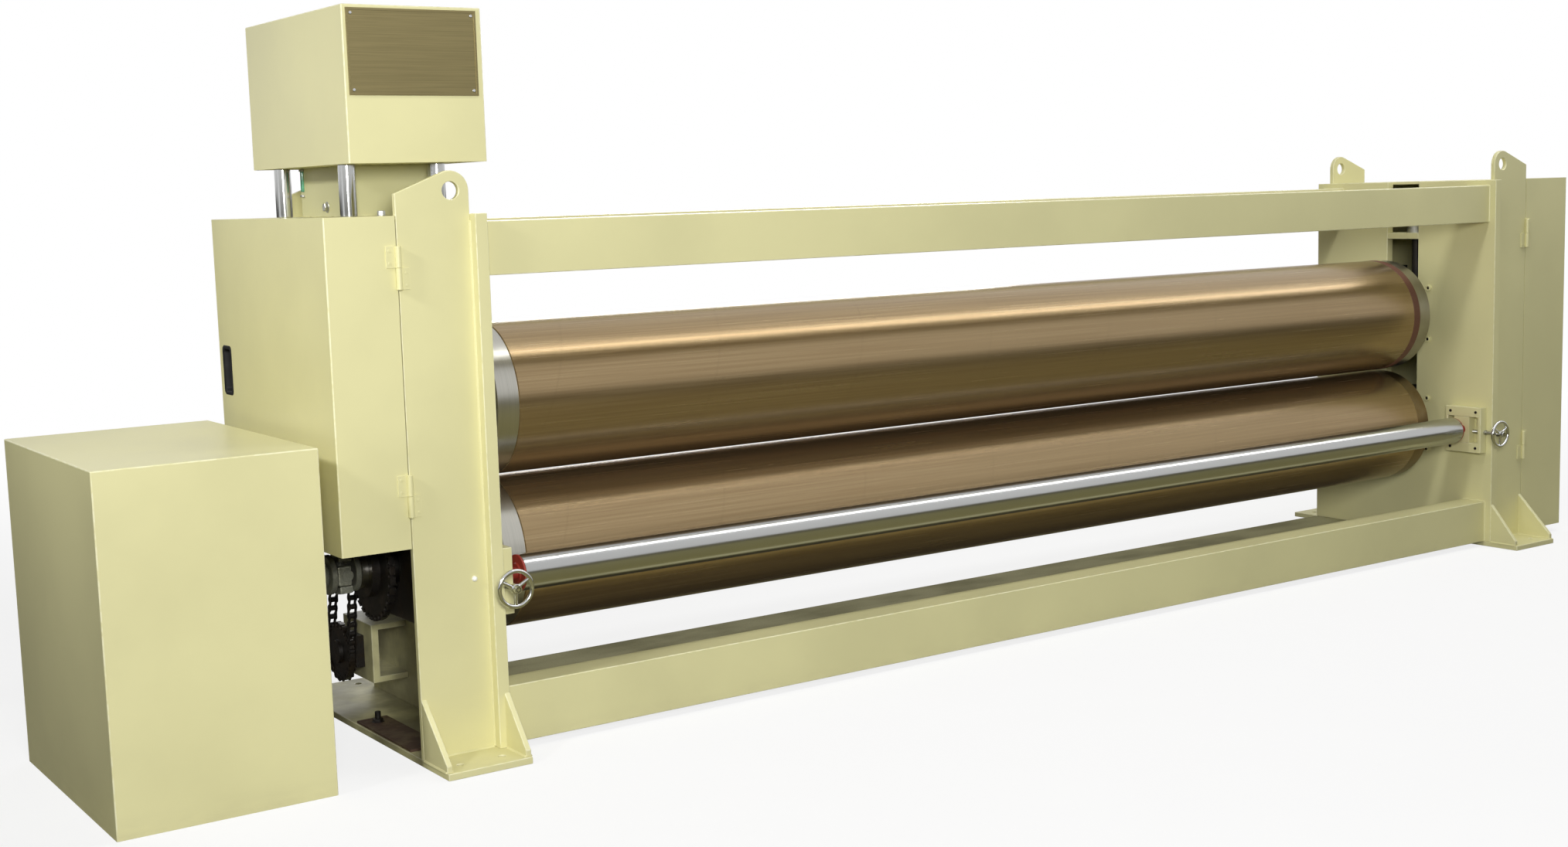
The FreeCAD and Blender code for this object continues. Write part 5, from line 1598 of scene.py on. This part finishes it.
def add_camera(stage):
    camera = bpy.data.cameras.new("camera")
    camera.lens = stage.lens
    camera.sensor_width = SENSOR_WIDE
    camera.sensor_fit = "HORIZONTAL"
    camera.clip_end = VIEW_FAR
    holder = bpy.data.objects.new("camera", camera)
    holder.matrix_world = view_matrix(stage)
    bpy.context.scene.collection.objects.link(holder)
    bpy.context.scene.camera = holder


def add_lamp(name, watts, place, target, size, spread):
    lamp = bpy.data.lights.new(name, "AREA")
    lamp.shape = "RECTANGLE"
    lamp.energy = watts
    lamp.size, lamp.size_y = size
    lamp.spread = math.radians(spread)
    holder = bpy.data.objects.new(name, lamp)
    holder.location = place
    holder.rotation_euler = (Vector(target) - Vector(place)).to_track_quat("-Z", "Y").to_euler()
    bpy.context.scene.collection.objects.link(holder)


def floor_finish(stage):
    """Pale floor that keeps the shadow, with some white added where it is looked at."""
    finish = Finish("studio_floor")
    grain = finish.noise(3.0)
    looked_at = finish.background_ray()
    pale = finish.mix(seen(244, 244, 242), seen(251, 251, 250), grain)
    finish.surface({"Base Color": finish.mix(seen(140, 140, 136), pale, looked_at), "Roughness": 0.9})
    glow = finish.node("ShaderNodeEmission", {}, {"Color": (1, 1, 1, 1), "Strength": 1.0})
    far = finish.node("ShaderNodeVectorMath", {"operation": "LENGTH"}, {0: finish.place()}, "Value")
    fade = finish.band(far, 0.35 * stage.floor_fade, stage.floor_fade)
    share = looked_at * (stage.floor_glow + (1 - stage.floor_glow) * fade)
    lit = Term(finish, finish.shader.outputs[0])
    both = finish.node("ShaderNodeMixShader", {}, {0: share, 1: lit, 2: glow})
    finish.feed(finish.tree.nodes["Material Output"].inputs["Surface"], both)
    return finish.material


def add_floor(stage):
    work = bmesh.new()
    bmesh.ops.create_grid(work, x_segments=1, y_segments=1, size=stage.floor_half)
    floor = add_object("studio_floor", work, floor_finish(stage))
    floor.location.z = CAD_BOX[0].z - FLOOR_GAP


def flag_finish():
    """Olive in front of the machine, and dark below and behind it as painted shade of the floor under the
    machine.
    """
    finish = Finish("studio_flag")
    olive = finish.mix(seen(148, 142, 92), seen(164, 157, 108), finish.noise(0.4))
    # Painted shade of the floor under the machine
    tint = finish.mix(olive, seen(58, 50, 40), finish.band(finish.along("Y"), *FLAG_SHADE_TURN))
    return finish.surface({"Base Color": tint, "Roughness": 1.0})


def add_flag(stage):
    """Card on the floor with upright edges, seen only in mirrors, for contrast in bright metal."""
    work = bmesh.new()
    rear, front = FLAG_SPAN
    profile = ((rear, stage.flag_high), (rear, FLAG_LOW), (front, FLAG_LOW), (front, stage.flag_high))
    reach = stage.flag_reach
    for start, end in zip(profile, profile[1:]):
        corners = ((-reach, *start), (reach, *start), (reach, *end), (-reach, *end))
        work.faces.new([work.verts.new(corner) for corner in corners])
    flag = add_object("studio_flag", work, flag_finish())
    flag.visible_camera = flag.visible_diffuse = flag.visible_shadow = False


def add_world(stage):
    """White to look at and in mirrors, and dimmer as light on the object."""
    world = bpy.data.worlds.new("studio")
    world.use_nodes = True
    bpy.context.scene.world = world
    world.node_tree.nodes.clear()
    room = Graph(world.node_tree)
    strength = room.background_ray() * (1.0 - stage.ambient) + stage.ambient
    glow = room.node("ShaderNodeBackground", {}, {"Color": (1, 1, 1, 1), "Strength": strength})
    room.feed(room.tree.nodes.new("ShaderNodeOutputWorld").inputs["Surface"], glow)


class IRONER_OT_stage(bpy.types.Operator):
    """Set the machine on a pale floor under soft lamps, in front of the camera"""

    bl_idname = "ironer.stage"
    bl_label = "Stage"

    def execute(self, context):
        stage = context.scene.ironer_stage
        context.scene.view_settings.view_transform = "Standard"
        add_camera(stage)
        add_floor(stage)
        add_world(stage)
        for name, lamp in LAMPS.items():
            add_lamp(name + "_lamp", getattr(stage, name), *lamp)
        add_flag(stage)
        return {"FINISHED"}


OPERATORS = (
    IRONER_OT_side_frames,
    IRONER_OT_rolls,
    IRONER_OT_bearings,
    IRONER_OT_tension_roll,
    IRONER_OT_hoods,
    IRONER_OT_floor_cover,
    IRONER_OT_power_pack,
    IRONER_OT_chain_drive,
    IRONER_OT_drive_unit,
    IRONER_OT_fasteners,
    IRONER_OT_stage,
)


class IRONER_PT_machine(bpy.types.Panel):
    """Steps that dress the ironing machine, with their settings"""

    bl_idname = "IRONER_PT_machine"
    bl_label = "Ironing machine"
    bl_space_type = "VIEW_3D"
    bl_region_type = "UI"
    bl_category = "Ironing machine"

    def draw(self, context):
        for operator in OPERATORS:
            self.layout.operator(operator.bl_idname)
        for name, group in SETTINGS.items():
            box = self.layout.box()
            box.label(text=group.__doc__)
            for setting in group.__annotations__:
                box.prop(getattr(context.scene, name), setting)


CLASSES = (*SETTINGS.values(), *OPERATORS, IRONER_PT_machine)


def register():
    for kind in CLASSES:
        bpy.utils.register_class(kind)
    for name, group in SETTINGS.items():
        setattr(bpy.types.Scene, name, PointerProperty(type=group))


def unregister():
    for name in SETTINGS:
        delattr(bpy.types.Scene, name)
    for kind in reversed(CLASSES):
        bpy.utils.unregister_class(kind)


def main():
    register()
    for operator in OPERATORS:
        group, step = operator.bl_idname.split(".")
        getattr(getattr(bpy.ops, group), step)()


if __name__ == "__main__":
    main()
